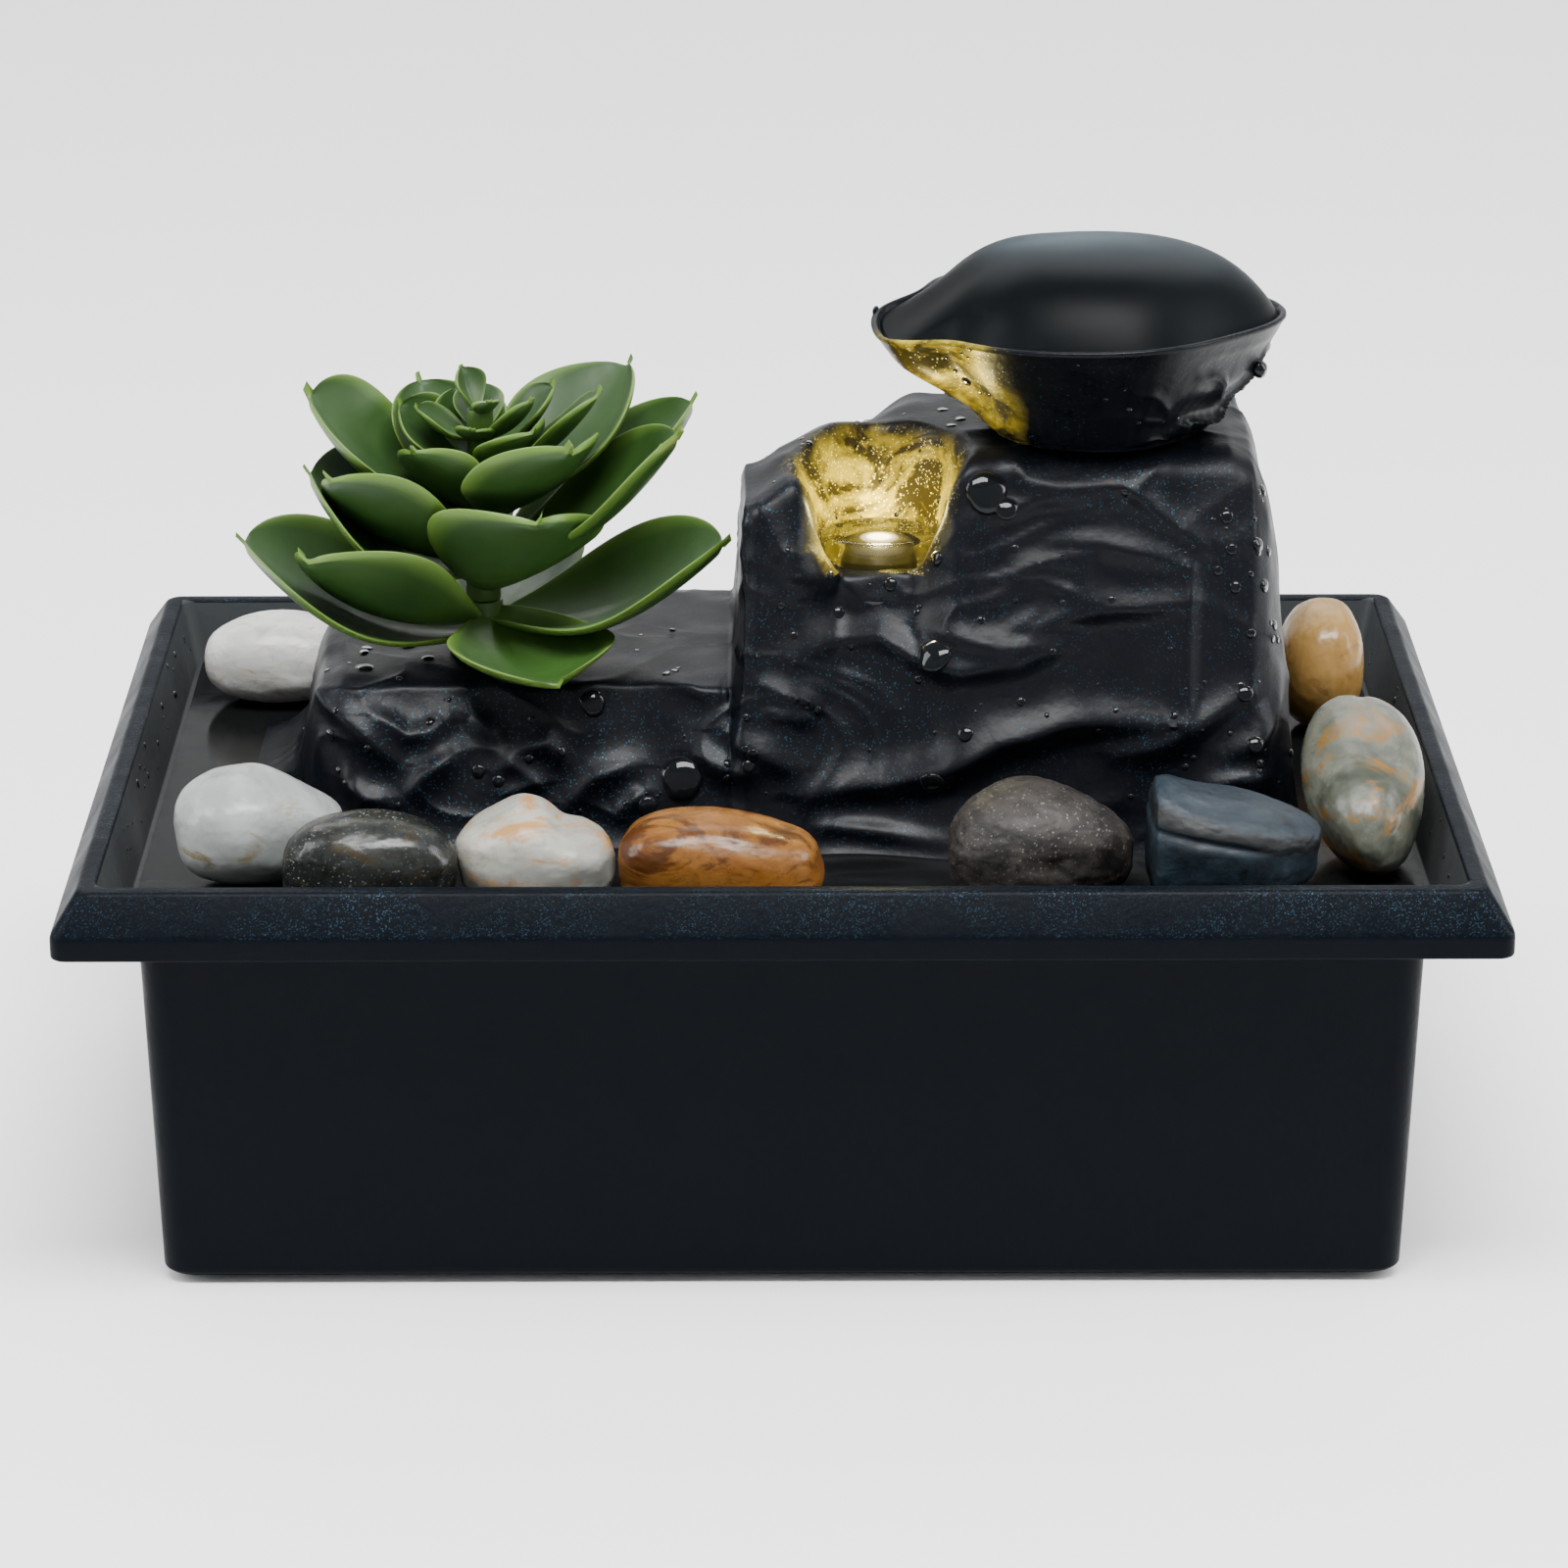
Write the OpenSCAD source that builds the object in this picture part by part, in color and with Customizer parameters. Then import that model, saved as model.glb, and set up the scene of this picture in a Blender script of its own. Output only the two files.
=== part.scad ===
// Tabletop water fountain: a rectangular basin with a sloped rim, a drop-in deck that
// carries a moulded rockery, an upper bowl with a spout, a lit pool, an artificial
// succulent and loose polished pebbles. A small submersible pump stands under the deck.
// Millimetres. Origin at the centre of the footprint, on the surface it stands on, +Z up,
// -Y towards the viewer.

/* [Basin] */
// Width over the rim
rim_w = 210; // [200:1:220]
// Depth over the rim
rim_d = 145; // [140:1:150]
// Height of the rim's flat top above the table
rim_z = 66; // [65:0.5:68]
// Overhang of the rim beyond the body, at its underside
rim_overhang = 11.3; // [10.5:0.1:12]
// Height of the rim's upright lower band
lip_h = 3.4; // [2.5:0.1:4]
// Height of the rim's sloped band
slope_h = 5.8; // [5:0.1:6.5]
// How far the sloped band leans in
slope_in = 3.8; // [3:0.1:4.5]
// Width of the rim's flat top
rim_top_w = 2.2; // [1.8:0.1:3]
// Draft of the body's walls from top to bottom, per side
body_draft = 1.6; // [1:0.1:2]
// Thickness of the basin's floor
floor_t = 2.2; // [2:0.1:2.6]
// How far the rubber feet stand out under the floor
foot_h = 1; // [0.8:0.1:1.4]

/* [Deck] */
// Thickness of the deck plate
deck_t = 1.4; // [1.2:0.1:1.6]
// Depth of the deck's top below the rim
deck_drop = 9.4; // [9.2:0.1:9.6]
// Gap between the deck and the basin's wall
deck_gap = 1.2; // [0.8:0.1:1.4]
// Width of a drain slot
slot_w = 2.6; // [2:0.1:3.4]

/* [Rockery] */
// Height of the tall rock above the deck
tall_h = 57; // [56:0.5:58]
// Height of the low rock above the deck
low_h = 23.5; // [22.5:0.5:25]
// Where the low rock meets the tall one
cliff_x = -6.5; // [-8:0.5:-5]
// Depth of the lit pool below the tall rock's top
pool_drop = 18; // [17:0.5:18.5]

/* [Upper bowl] */
// Height of the bowl's rim above its foot
bowl_h = 18; // [17:0.5:19]
// Half width of the bowl's rim
bowl_rx = 28; // [27:0.5:29]
// Half depth of the bowl's rim
bowl_ry = 24; // [23:0.5:25]
// How far the spout reaches beyond the bowl's oval
spout_reach = 7; // [5:0.5:8]

/* [Pump] */
// Width of the pump's housing
pump_w = 34; // [34:0.5:36]
// Rotor radius
rotor_r = 6; // [5.6:0.1:6.1]
// Radius of the impeller's shaft
shaft_r = 1; // [0.9:0.05:1.1]

/* [Plant] */
// Leaf thickness at the rim
leaf_t = 0.9; // [0.8:0.1:1.2]
// Depth of a leaf's cup as a share of its half width
leaf_cup = 0.42; // [0.3:0.02:0.5]

/* [Hidden] */

$fn = 48;

// Levels and plan sizes of the basin
floor_z = foot_h;
floor_top = floor_z + floor_t;
lip_z = rim_z - slope_h - lip_h - 0.3;
body_top_z = lip_z - 3.9;
body_hx = rim_w / 2 - rim_overhang;
body_hy = rim_d / 2 - rim_overhang;
deck_z = rim_z - deck_drop;
ledge_z = deck_z - deck_t;
wall_t = 1.8;
well_in = slope_in + rim_top_w + 2.5;
deck_hx = rim_w / 2 - well_in - deck_gap;
deck_hy = rim_d / 2 - well_in - deck_gap;

// Rubber feet, and the cable notch in the rear rim
foot_x = 78;
foot_y = 46;
foot_r = 6;
notch_x = 45;
notch_r = 3.4;
cord_r = 2;

// Screws that hold the rockery on the deck
screw_spots = [[-60, 8], [-16, 22], [8, 24], [66, 24]];
screw_r = 1.45;
screw_boss_r = 3.6;

// Water axis: pump nozzle, hose, riser and bowl stand on this line
axis_x = 48;
axis_y = 4;
pad_h = 0.5;
seat_z = deck_z + tall_h + pad_h;
seat_r = 13;
coupler_r = 7;
coupler_h = 17.5;
riser_r = 4.5;
spigot_r = 4;

// Lit pool
led_x = 15;
led_y = -5;
pool_z = deck_z + tall_h - pool_drop + pad_h;
lens_r = 4.9;
led_case_r = 9;
led_case_wall = 1.1;

// The light's lead and its plug
lead_r = 1.3;
plug_x = 21;
plug_r = 3.4;
plug_z = 45;

// Plant axis
plant_x = -45.4;
plant_y = -2;
plateau_z = deck_z + low_h;
plant_z = plateau_z + 1;
socket_r = 4.5;
stem_r = 2.6;
core_r = 1.3;

// Pump, whose rotor axis runs along Y
pump_y = 9;
pump_len = 22;
pump_z = 6;
pump_h = 34;
rotor_z = 15;
nozzle_r = 3.5;
nozzle_top = 50;
gland_x = 57;
gland_z = 24;
cup_x = 12;
cup_y = [4, 18];
screw_x = 15;
screw_z = [10, 33];
intake_w = 24;
intake_h = 21;
intake_y = -14;
intake_len = 12.8;

// Radial clearance of parts that slide or turn in one another
fit = 0.05;

// ---------- helpers ----------

// Points of a rounded rectangle at height z, counted anticlockwise from above
function plate_ring(hx, hy, r, z, n = 5) = [
    for (q = [0:3]) for (i = [0:n])
        let (
            a = 90 * q + 90 * i / n,
            sx = (q == 0 || q == 3) ? 1 : -1,
            sy = q < 2 ? 1 : -1
        )
        [sx * (hx - r) + r * cos(a), sy * (hy - r) + r * sin(a), z]
];

// Closed solid through rings of equal point count, capped at both ends
module loft(rings) {
    n = len(rings[0]);
    last = len(rings) - 1;
    points = [for (ring = rings) for (p = ring) p];
    sides = [
        for (j = [0:last - 1]) for (i = [0:n - 1])
            let (k = (i + 1) % n)
            [j * n + i, (j + 1) * n + i, (j + 1) * n + k, j * n + k]
    ];
    first_cap = [for (i = [0:n - 1]) i];
    last_cap = [for (i = [n - 1:-1:0]) last * n + i];
    polyhedron(points, concat([first_cap, last_cap], sides), convexity = 8);
}

// Smooth step from 0 at a to 1 at b
function ease(a, b, v) = let (t = min(1, max(0, (v - a) / (b - a)))) t * t * (3 - 2 * t);

// Gentle irregularity between -1 and 1
function ripple(u, v) =
    (sin(7.3 * u + 11 * v) + sin(13.1 * v - 5.7 * u + 40) + sin(17 * u + 61)) / 3;

// Upright tube
module tube(r_out, r_in, h) {
    difference() {
        cylinder(r = r_out, h = h);
        translate([0, 0, -1]) cylinder(r = r_in, h = h + 2);
    }
}

// Block with rounded upright edges
module soft_block(size, r) {
    linear_extrude(size[2]) {
        translate([r, 0]) square([size[0] - 2 * r, size[1]]);
        translate([0, r]) square([size[0], size[1] - 2 * r]);
        for (x = [r, size[0] - r]) for (y = [r, size[1] - r]) translate([x, y]) circle(r);
    }
}

// Cylinder along +Y from y0 to y1
module y_rod(x, z, r, y0, y1) {
    translate([x, y1, z]) rotate([90, 0, 0]) cylinder(r = r, h = y1 - y0);
}

// ---------- basin ----------

module basin() {
    hx = rim_w / 2;
    hy = rim_d / 2;
    // each row: inset from the rim's outer edge, corner radius, height
    profile = [
        [rim_overhang + body_draft + 1, 3.2, floor_z],
        [rim_overhang + body_draft + 0.3, 3.8, floor_z + 0.3],
        [rim_overhang + body_draft, 4, floor_z + 1],
        [rim_overhang, 4, body_top_z],
        [1.4, 2.4, lip_z - 0.2],
        [0.5, 2, lip_z],
        [0, 2, lip_z + 0.4],
        [0, 2, lip_z + lip_h],
        [slope_in, 1.8, rim_z - 0.3],
        [slope_in + 0.3, 1.6, rim_z],
        [slope_in + rim_top_w, 1.4, rim_z],
        [slope_in + rim_top_w + 0.3, 1.4, rim_z - 0.3],
        [well_in, 1.2, ledge_z],
        [rim_overhang + wall_t, 2.4, ledge_z],
        [rim_overhang + body_draft + wall_t, 2.4, floor_top + 2],
        [rim_overhang + body_draft + wall_t + 2, 1.6, floor_top]
    ];
    color([0.03, 0.06, 0.08]) difference() {
        loft([for (p = profile) plate_ring(hx - p[0], hy - p[0], p[1], p[2])]);
        for (x = [-1, 1]) for (y = [-1, 1])
            translate([x * foot_x, y * foot_y, floor_z - 1]) cylinder(r = foot_r, h = 2);
        // cable notch through the rear rim
        translate([notch_x - notch_r, body_hy - 4, ledge_z - 4]) cube([2 * notch_r, 20, 20]);
        y_rod(notch_x, ledge_z - 4, notch_r, body_hy - 4, hy + 4);
    }
}

module rubber_feet() {
    color([0.05, 0.05, 0.05])
    for (x = [-1, 1]) for (y = [-1, 1])
        translate([x * foot_x, y * foot_y, 0]) rotate_extrude()
            polygon([[0, 0], [foot_r - 0.7, 0], [foot_r, 0.5], [foot_r, floor_z + 1], [0, floor_z + 1]]);
}

// Rubber plug in the rear notch, bored for the supply cord
module cable_grommet() {
    r = notch_r - fit;
    y0 = body_hy - 3;
    zc = ledge_z - 4;
    color([0.06, 0.06, 0.06]) difference() {
        union() {
            y_rod(notch_x, zc, r, y0, body_hy + 2.3);
            translate([notch_x - r, y0, zc]) cube([2 * r, 8.2, ledge_z - 0.1 - zc]);
            translate([notch_x - r, body_hy + 3.4, zc + 3.4]) cube([2 * r, 7.2, rim_z - 0.4 - zc - 3.4]);
        }
        y_rod(notch_x, zc, cord_r + 0.1, y0 - 1, body_hy + 6);
    }
}

// ---------- deck ----------

module deck_tray() {
    color([0.05, 0.06, 0.07]) difference() {
        union() {
            loft([plate_ring(deck_hx, deck_hy, 1.6, ledge_z), plate_ring(deck_hx, deck_hy, 1.6, deck_z)]);
            for (y = [-34, 42]) translate([-82, y, ledge_z - 2.5]) cube([164, 1.6, 2.6]);
        }
        for (i = [0:11]) for (y = [-56, 57])
            translate([-80 + 13.6 * i, y - slot_w / 2, ledge_z - 1]) cube([9, slot_w, deck_t + 2]);
        translate([axis_x, axis_y, ledge_z - 1]) cylinder(r = 6.6, h = deck_t + 2);
        translate([plug_x, axis_y, ledge_z - 1]) cylinder(r = plug_r + 0.6, h = deck_t + 2);
        for (p = screw_spots) translate([p[0], p[1], ledge_z - 1])
            cylinder(r = screw_r + 0.15, h = deck_t + 2);
    }
}

module deck_screws() {
    color([0.7, 0.7, 0.72])
    for (p = screw_spots) translate([p[0], p[1], ledge_z - 1.8]) rotate_extrude()
        polygon([[0, 0], [2.4, 0], [2.8, 0.5], [2.8, 1.8], [screw_r, 1.8], [screw_r, 9], [0, 10.4]]);
}

// ---------- rockery ----------

// Height of the rock's top surface at a plan position
function tall_top(x, y) = tall_h - 7 * (1 - ease(-6, 9, x)) - 2 * ease(70, 77, x)
    - 0.42 * max(0, y - 9) * (1 - ease(8, 22, x));
function rock_top(x, y) =
    let (
        tall = ease(cliff_x - 1.2, cliff_x + 1.2, x),
        level = low_h + (tall_top(x, y) - low_h) * tall,
        flat_at_bowl = 1 - ease(24, 17, norm([x - axis_x, y - axis_y])),
        flat_at_plant = 1 - ease(22, 14, norm([x - plant_x, y - plant_y])),
        rough = 0.9 * ripple(6 * x, 7 * y) * flat_at_bowl * flat_at_plant,
        d = norm([(x - led_x) / 14, (y - led_y) / 16]),
        floor_h = tall_h - pool_drop
    )
    deck_z + (d < 1 && tall > 0.5
        ? floor_h + (level + rough - floor_h) * ease(0.5, 1, d)
        : level + rough);

// Front and back edges of the rock's foot and of its top
function is_tall(x) = ease(cliff_x - 2, cliff_x + 4, x);
function right_in(x) = 7 * ease(70, 79.5, x);
function front_in(x) = 36 * (1 - ease(-86, -64, x)) + right_in(x);
function back_in(x) = 8 * (1 - ease(-84, -66, x)) + right_in(x);
function foot_front(x) = -27 - 3 * is_tall(x) + front_in(x) + 1.5 * sin(9 * x);
function foot_back(x) = 38 + 3 * is_tall(x) - back_in(x) + 1.2 * sin(8 * x + 30);
function top_front(x) = -16 + 5 * is_tall(x) + 0.7 * front_in(x) + sin(12 * x);
function top_back(x) = 32 - 2 * is_tall(x) - 0.8 * back_in(x) + sin(10 * x);

// Stations along the rock: position and height as a share of the full height there
rock_stations = [
    [-82, 0.02], [-78, 0.09], [-75, 0.2], [-73.2, 0.45], [-72.2, 0.75], [-70.5, 0.93],
    [-67, 1], [-61, 1], [-54, 1], [-47, 1], [-40, 1], [-33, 1], [-26, 1], [-19, 1], [-13, 1],
    [-9.5, 1], [-7.7, 1], [-7.1, 1], [-6.5, 1], [-5.9, 1], [-5.3, 1], [-3.5, 1], [0, 1], [4, 1],
    [8, 1], [12, 1], [16, 1], [20, 1], [24, 1], [28, 1], [33, 1], [39, 1], [45, 1], [51, 1],
    [57, 1], [63, 1], [68, 1], [71.5, 0.98], [73.8, 0.9], [75.6, 0.72], [77.2, 0.45],
    [78.4, 0.2], [79.4, 0.02]
];
wall_steps = [0, 0.06, 0.22, 0.42, 0.62, 0.8, 0.93];
top_steps = 9;

// One cross-section: up the front wall, over the top and down the back wall
function wall_point(x, share, y_foot, y_top, t) =
    let (
        top = (rock_top(x, y_top) - deck_z) * share,
        lean = pow(t, 0.75) - 0.12 * sin(180 * t),
        bump = 1.1 * ripple(9 * x, 60 * t) * sin(180 * t) * sign(y_foot)
    )
    [x, y_foot + (y_top - y_foot) * lean + bump, deck_z + top * t];

function rock_section(x, share) =
    let (yf = foot_front(x), yb = foot_back(x), tf = top_front(x), tb = top_back(x))
    concat(
        [for (t = wall_steps) wall_point(x, share, yf, tf, t)],
        [for (i = [0:top_steps])
            let (
                y = tf + 1.6 + (tb - tf - 3.2) * i / top_steps,
                edge = 0.6 * (pow(abs(2 * i / top_steps - 1), 6))
            )
            [x, y, deck_z + (rock_top(x, y) - deck_z) * share - edge * share]],
        [for (i = [len(wall_steps) - 1:-1:0]) wall_point(x, share, yb, tb, wall_steps[i])]
    );

// Block that tapers from a foot [x0, x1, y0, y1] at z0 to a top at z1
function box_ring(b, z) = [[b[1], b[3], z], [b[0], b[3], z], [b[0], b[2], z], [b[1], b[2], z]];
module frustum(foot, top, z0, z1) {
    loft([box_ring(foot, z0), box_ring(top, z1)]);
}

// Screw bosses reach up into the rock's roof: low rock, pool side and bowl side
function boss_h(x) = (x < 0 ? low_h : tall_h - pool_drop) - 2.5 + (x > 40 ? 16 : 0);

module rockery_shell() {
    color([0.04, 0.05, 0.08]) difference() {
        union() {
            difference() {
                loft([
                    for (i = [len(rock_stations) - 1:-1:0])
                        rock_section(rock_stations[i][0], rock_stations[i][1])
                ]);
                // hollows: low rock, tall rock up to the pool, tall rock beside the pool
                frustum([-68, -11, -14, 31], [-65, -12, -9, 26], deck_z - 1, plateau_z - 3);
                frustum([1, 73, -23, 34], [4, 70, -9, 27], deck_z - 1, pool_z - 4);
                frustum([34, 69, -8, 26], [35, 67, -5, 24], pool_z - 4.5, seat_z - 4);
                translate([led_x, led_y, pool_z - 18]) cylinder(r = led_case_r + 0.3, h = 13.5);
            }
            for (p = screw_spots) translate([p[0], p[1], deck_z])
                cylinder(r = screw_boss_r, h = boss_h(p[0]));
            translate([axis_x, axis_y, seat_z - 18]) cylinder(r = seat_r, h = 18);
            translate([led_x, led_y, pool_z - 4.5]) cylinder(r = led_case_r, h = 4.5);
            translate([plant_x, plant_y, plateau_z - 12]) cylinder(r = socket_r + 2, h = 10.4);
        }
        for (p = screw_spots) translate([p[0], p[1], deck_z - 1]) cylinder(r = screw_r + fit, h = 12);
        translate([axis_x, axis_y, seat_z - 19]) cylinder(r = coupler_r, h = 20);
        translate([led_x, led_y, pool_z - 6]) cylinder(r = lens_r + fit, h = 8);
        translate([plant_x, plant_y, plateau_z - 13]) cylinder(r = socket_r, h = 20);
    }
}

// ---------- upper bowl ----------

bowl_z = seat_z;
bowl_n = 40;
spout_turn = 184;

// Smallest angle between two directions
function turn_gap(a, b) = min(abs(a - b), 360 - abs(a - b));

// Outline of the rim with a share of the spout, and the rim's height with a dip at the spout
function bowl_out(a, nose) =
    1 / norm([cos(a) / bowl_rx, sin(a) / bowl_ry])
    + spout_reach * nose * exp(-pow(turn_gap(a, spout_turn) / 19, 4))
    + 0.8 * sin(3 * a + 20) + 0.5 * sin(5 * a + 70);
function bowl_rim(a) =
    bowl_h - 2.2 * exp(-pow(turn_gap(a, spout_turn + 2) / 20, 2))
    + 1.2 * exp(-pow(turn_gap(a, 150) / 22, 2))
    + 0.5 * sin(2 * a + 200);

// Ring of the bowl: share of the rim's radius, share of its height, offset inwards
function bowl_ring(share, rise, inset) = [
    for (i = [0:bowl_n - 1])
        let (
            a = 360 * i / bowl_n,
            r = bowl_out(a, ease(0.1, 0.75, rise)) * share - inset
                + 0.5 * ripple(3 * a, 40 * rise) * (1 - rise)
        )
        [axis_x + r * cos(a), axis_y + r * sin(a), bowl_z + bowl_rim(a) * rise]
];

function flat_ring(share, z) = [for (p = bowl_ring(share, 0, 0)) [p[0], p[1], z]];

module upper_bowl() {
    color([0.05, 0.07, 0.09]) difference() {
        union() {
            loft([
                flat_ring(0.58, bowl_z + 0.02), bowl_ring(0.66, 0.12, 0), bowl_ring(0.74, 0.34, 0),
                bowl_ring(0.84, 0.62, 0), bowl_ring(0.95, 0.88, 0), bowl_ring(1, 0.97, 0),
                bowl_ring(1, 1, 0.5), bowl_ring(1, 1, 1.1), bowl_ring(0.99, 0.95, 1.5),
                bowl_ring(0.9, 0.7, 1.7), bowl_ring(0.78, 0.45, 1.8), flat_ring(0.56, bowl_z + 3.4)
            ]);
            translate([axis_x, axis_y, bowl_z - 7]) cylinder(r = spigot_r, h = 9);
        }
        translate([axis_x, axis_y, bowl_z - 8]) cylinder(r = 2.5, h = 20);
        for (y = [-1, 1]) translate([axis_x, axis_y + 5.5 * y, bowl_z + 1.5]) cylinder(r = 1.1, h = 5);
    }
}

// Cap over the water inlet: it spreads the jet under the surface
module bowl_outlet() {
    cap_w = 11;
    cap_d = 15;
    z0 = bowl_z + 3.45;
    color([0.04, 0.05, 0.06]) difference() {
        union() {
            translate([axis_x - cap_w / 2, axis_y - cap_d / 2, z0 + 5]) soft_block([cap_w, cap_d, 3], 2);
            for (y = [-1, 1]) translate([axis_x, axis_y + 5.5 * y, z0]) cylinder(r = 1.9, h = 5.5);
            for (y = [-1, 1]) translate([axis_x, axis_y + 5.5 * y, z0 - 1.9]) cylinder(r = 1.05, h = 3);
        }
        translate([axis_x, axis_y, z0 + 4]) cylinder(r = 2.2, h = 2.4);
    }
}

// Elastic sleeve in the rock that joins the riser to the bowl's spigot
module bowl_coupler() {
    z0 = seat_z - 18;
    color([0.1, 0.1, 0.1]) translate([axis_x, axis_y, z0]) difference() {
        cylinder(r = coupler_r, h = coupler_h);
        translate([0, 0, -1]) cylinder(r = riser_r + fit, h = 11);
        translate([0, 0, 9]) cylinder(r = spigot_r + fit, h = 10);
    }
}

module riser_pipe() {
    z0 = nozzle_top + 0.3;
    color([0.75, 0.77, 0.78]) translate([axis_x, axis_y, z0]) tube(riser_r, 3.1, seat_z - 18 + 10 - z0);
}

// Soft sleeve between the pump's nozzle and the riser
module hose() {
    z0 = 41;
    color([0.8, 0.82, 0.82]) translate([axis_x, axis_y, z0]) difference() {
        cylinder(r = 5.7, h = 19);
        translate([0, 0, -1]) cylinder(r = nozzle_r + fit, h = 12);
        translate([0, 0, nozzle_top + 0.3 - z0]) cylinder(r = riser_r + fit, h = 20);
    }
}

// ---------- pool light ----------

module led_housing() {
    color([0.1, 0.1, 0.1]) translate([led_x, led_y, pool_z - 16.5]) difference() {
        cylinder(r = led_case_r, h = 12);
        translate([0, 0, 2]) cylinder(r = led_case_r - led_case_wall, h = 11);
        translate([0, 0, -1]) cylinder(r = lead_r, h = 4);
    }
}

module led_lens() {
    z0 = pool_z - 6.8;
    flange_r = led_case_r - led_case_wall - fit;
    color([0.95, 0.95, 0.9, 0.6]) translate([led_x, led_y, z0]) rotate_extrude()
        polygon([[0, 0], [flange_r, 0], [flange_r, 1.4], [lens_r, 1.4], [lens_r, 7],
            [lens_r * 0.92, 7.8], [lens_r * 0.7, 8.6], [lens_r * 0.38, 9.1], [0, 9.3]]);
}

module led_seal() {
    r = led_case_r - led_case_wall - fit;
    color([0.5, 0.1, 0.08]) translate([led_x, led_y, pool_z - 5.4]) tube(r, lens_r + 0.02, 0.9);
}

module led_board() {
    r = led_case_r - led_case_wall - fit;
    color([0.1, 0.35, 0.15]) translate([led_x, led_y, pool_z - 10.4]) cylinder(r = r, h = 1.2);
}

module led_chip() {
    color([1, 0.8, 0.3]) translate([led_x - 1.75, led_y - 1.75, pool_z - 9.2]) cube([3.5, 3.5, 0.8]);
}

// Points along the light's lead, from the housing down to its plug
lead_route = [
    [led_x, led_y, pool_z - 10.6], [led_x, led_y, pool_z - 14], [led_x, led_y, pool_z - 18],
    [led_x + 0.6, led_y + 0.8, pool_z - 21], [led_x + 2, led_y + 2.8, pool_z - 24],
    [led_x + 4, led_y + 6, pool_z - 27], [plug_x - 0.5, axis_y - 0.7, pool_z - 30],
    [plug_x, axis_y, pool_z - 33], [plug_x, axis_y, plug_z + 13]
];

// Round section swept along a route, with 8 sides
function unit(v) = v / norm(v);
function along(route, i) =
    unit(route[min(i + 1, len(route) - 1)] - route[max(i - 1, 0)]);
function sweep_ring(route, i, r) =
    let (t = along(route, i), u = unit(cross([0, 1, 0], t)), v = cross(t, u))
    [for (k = [0:7]) route[i] + r * (cos(45 * k) * u + sin(45 * k) * v)];

module led_lead() {
    color([0.08, 0.08, 0.08])
    loft([for (i = [len(lead_route) - 1:-1:0]) sweep_ring(lead_route, i, lead_r - 0.05)]);
}

module led_plug() {
    color([0.1, 0.1, 0.1]) translate([plug_x, axis_y, plug_z]) {
        cylinder(r = plug_r, h = 13);
        translate([0, 0, -7]) cylinder(r = 1.5, h = 8);
    }
}

module led_socket() {
    color([0.12, 0.12, 0.12]) difference() {
        union() {
            translate([plug_x, axis_y, 34]) cylinder(r = 4.4, h = 10.8);
            translate([plug_x, axis_y + 2, 34]) cube([axis_x - pump_w / 2 - plug_x, 9, 5]);
        }
        translate([plug_x, axis_y, 37]) cylinder(r = 1.5 + fit, h = 9);
    }
}

// ---------- artificial plant ----------

module plant_socket() {
    color([0.06, 0.07, 0.06]) translate([plant_x, plant_y, plateau_z - 12]) difference() {
        union() {
            cylinder(r = socket_r, h = 12.2);
            translate([0, 0, 12.2]) cylinder(r = socket_r + 0.8, h = 0.6);
        }
        translate([0, 0, 1.5]) cylinder(r = stem_r + fit, h = 13);
    }
}

// Stem with a shoulder; the leaf rings slide onto its slimmer core
module plant_stem() {
    color([0.16, 0.36, 0.1]) translate([plant_x, plant_y, plant_z]) rotate_extrude()
        polygon([[0, -10], [stem_r - 0.8, -10], [stem_r, -8.5], [stem_r, 0], [core_r, 0],
            [core_r, 37.6], [0, 37.6]]);
}

// One spoon-shaped leaf along +X from the stem, rolled about its own length and tilted up
function leaf_half(u) = pow(sin(180 * pow(min(u, 0.99), 1.35)), 0.75) * 0.93 + 0.14 * (1 - u);
leaf_rows = [0, 0.16, 0.34, 0.52, 0.7, 0.85, 0.95, 1];
leaf_cols = [-1, -0.55, 0, 0.55, 1];
leaf_root = 1.45;
function leaf_point(u, v, side, length, half, curl) =
    let (w = half * (u < 1 ? leaf_half(u) : 0.06))
    [
        leaf_root + (length - leaf_root) * u,
        v * w,
        leaf_cup * w * v * v + curl * u * u * length - 0.05 * length * sin(180 * u)
            + side * leaf_t * (abs(v) < 1 ? 0.7 : 0.35)
    ];

module leaf(length, half, curl) {
    n = len(leaf_cols);
    loft([
        for (u = leaf_rows) concat(
            [for (v = leaf_cols) leaf_point(u, v, -1, length, half, curl)],
            [for (i = [n - 1:-1:0]) leaf_point(u, leaf_cols[i], 1, length, half, curl)]
        )
    ]);
}

// Leaves as [turn, length, half width, rise, curl, height on the stem, roll], on a collar
// that slides on the stem
module leaf_ring(leaves, z0, z1, collar_r) {
    color([0.16, 0.38, 0.1]) translate([plant_x, plant_y, plant_z]) difference() {
        union() {
            for (f = leaves)
                translate([0, 0, f[5]]) rotate([0, 0, f[0]]) rotate([0, -f[3], 0]) rotate([f[6], 0, 0])
                    leaf(f[1], f[2], f[4]);
            translate([0, 0, z0]) cylinder(r = collar_r, h = z1 - z0);
        }
        translate([0, 0, z0 - 8]) cylinder(r = core_r + 0.02, h = 30);
    }
}

module leaf_ring_1() {
    leaf_ring([
        [296, 27, 13.5, -20, 0.2, 5.8, 0], [184, 38, 14.5, 8, 0.3, 1.4, -14],
        [218, 33, 13, 14, 0.22, 4, 20], [350, 39, 14, 6, 0.28, 3.6, 12], [75, 28, 11, 6, 0.15, 3, 0]
    ], 0.1, 7.4, 3);
}

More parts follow.
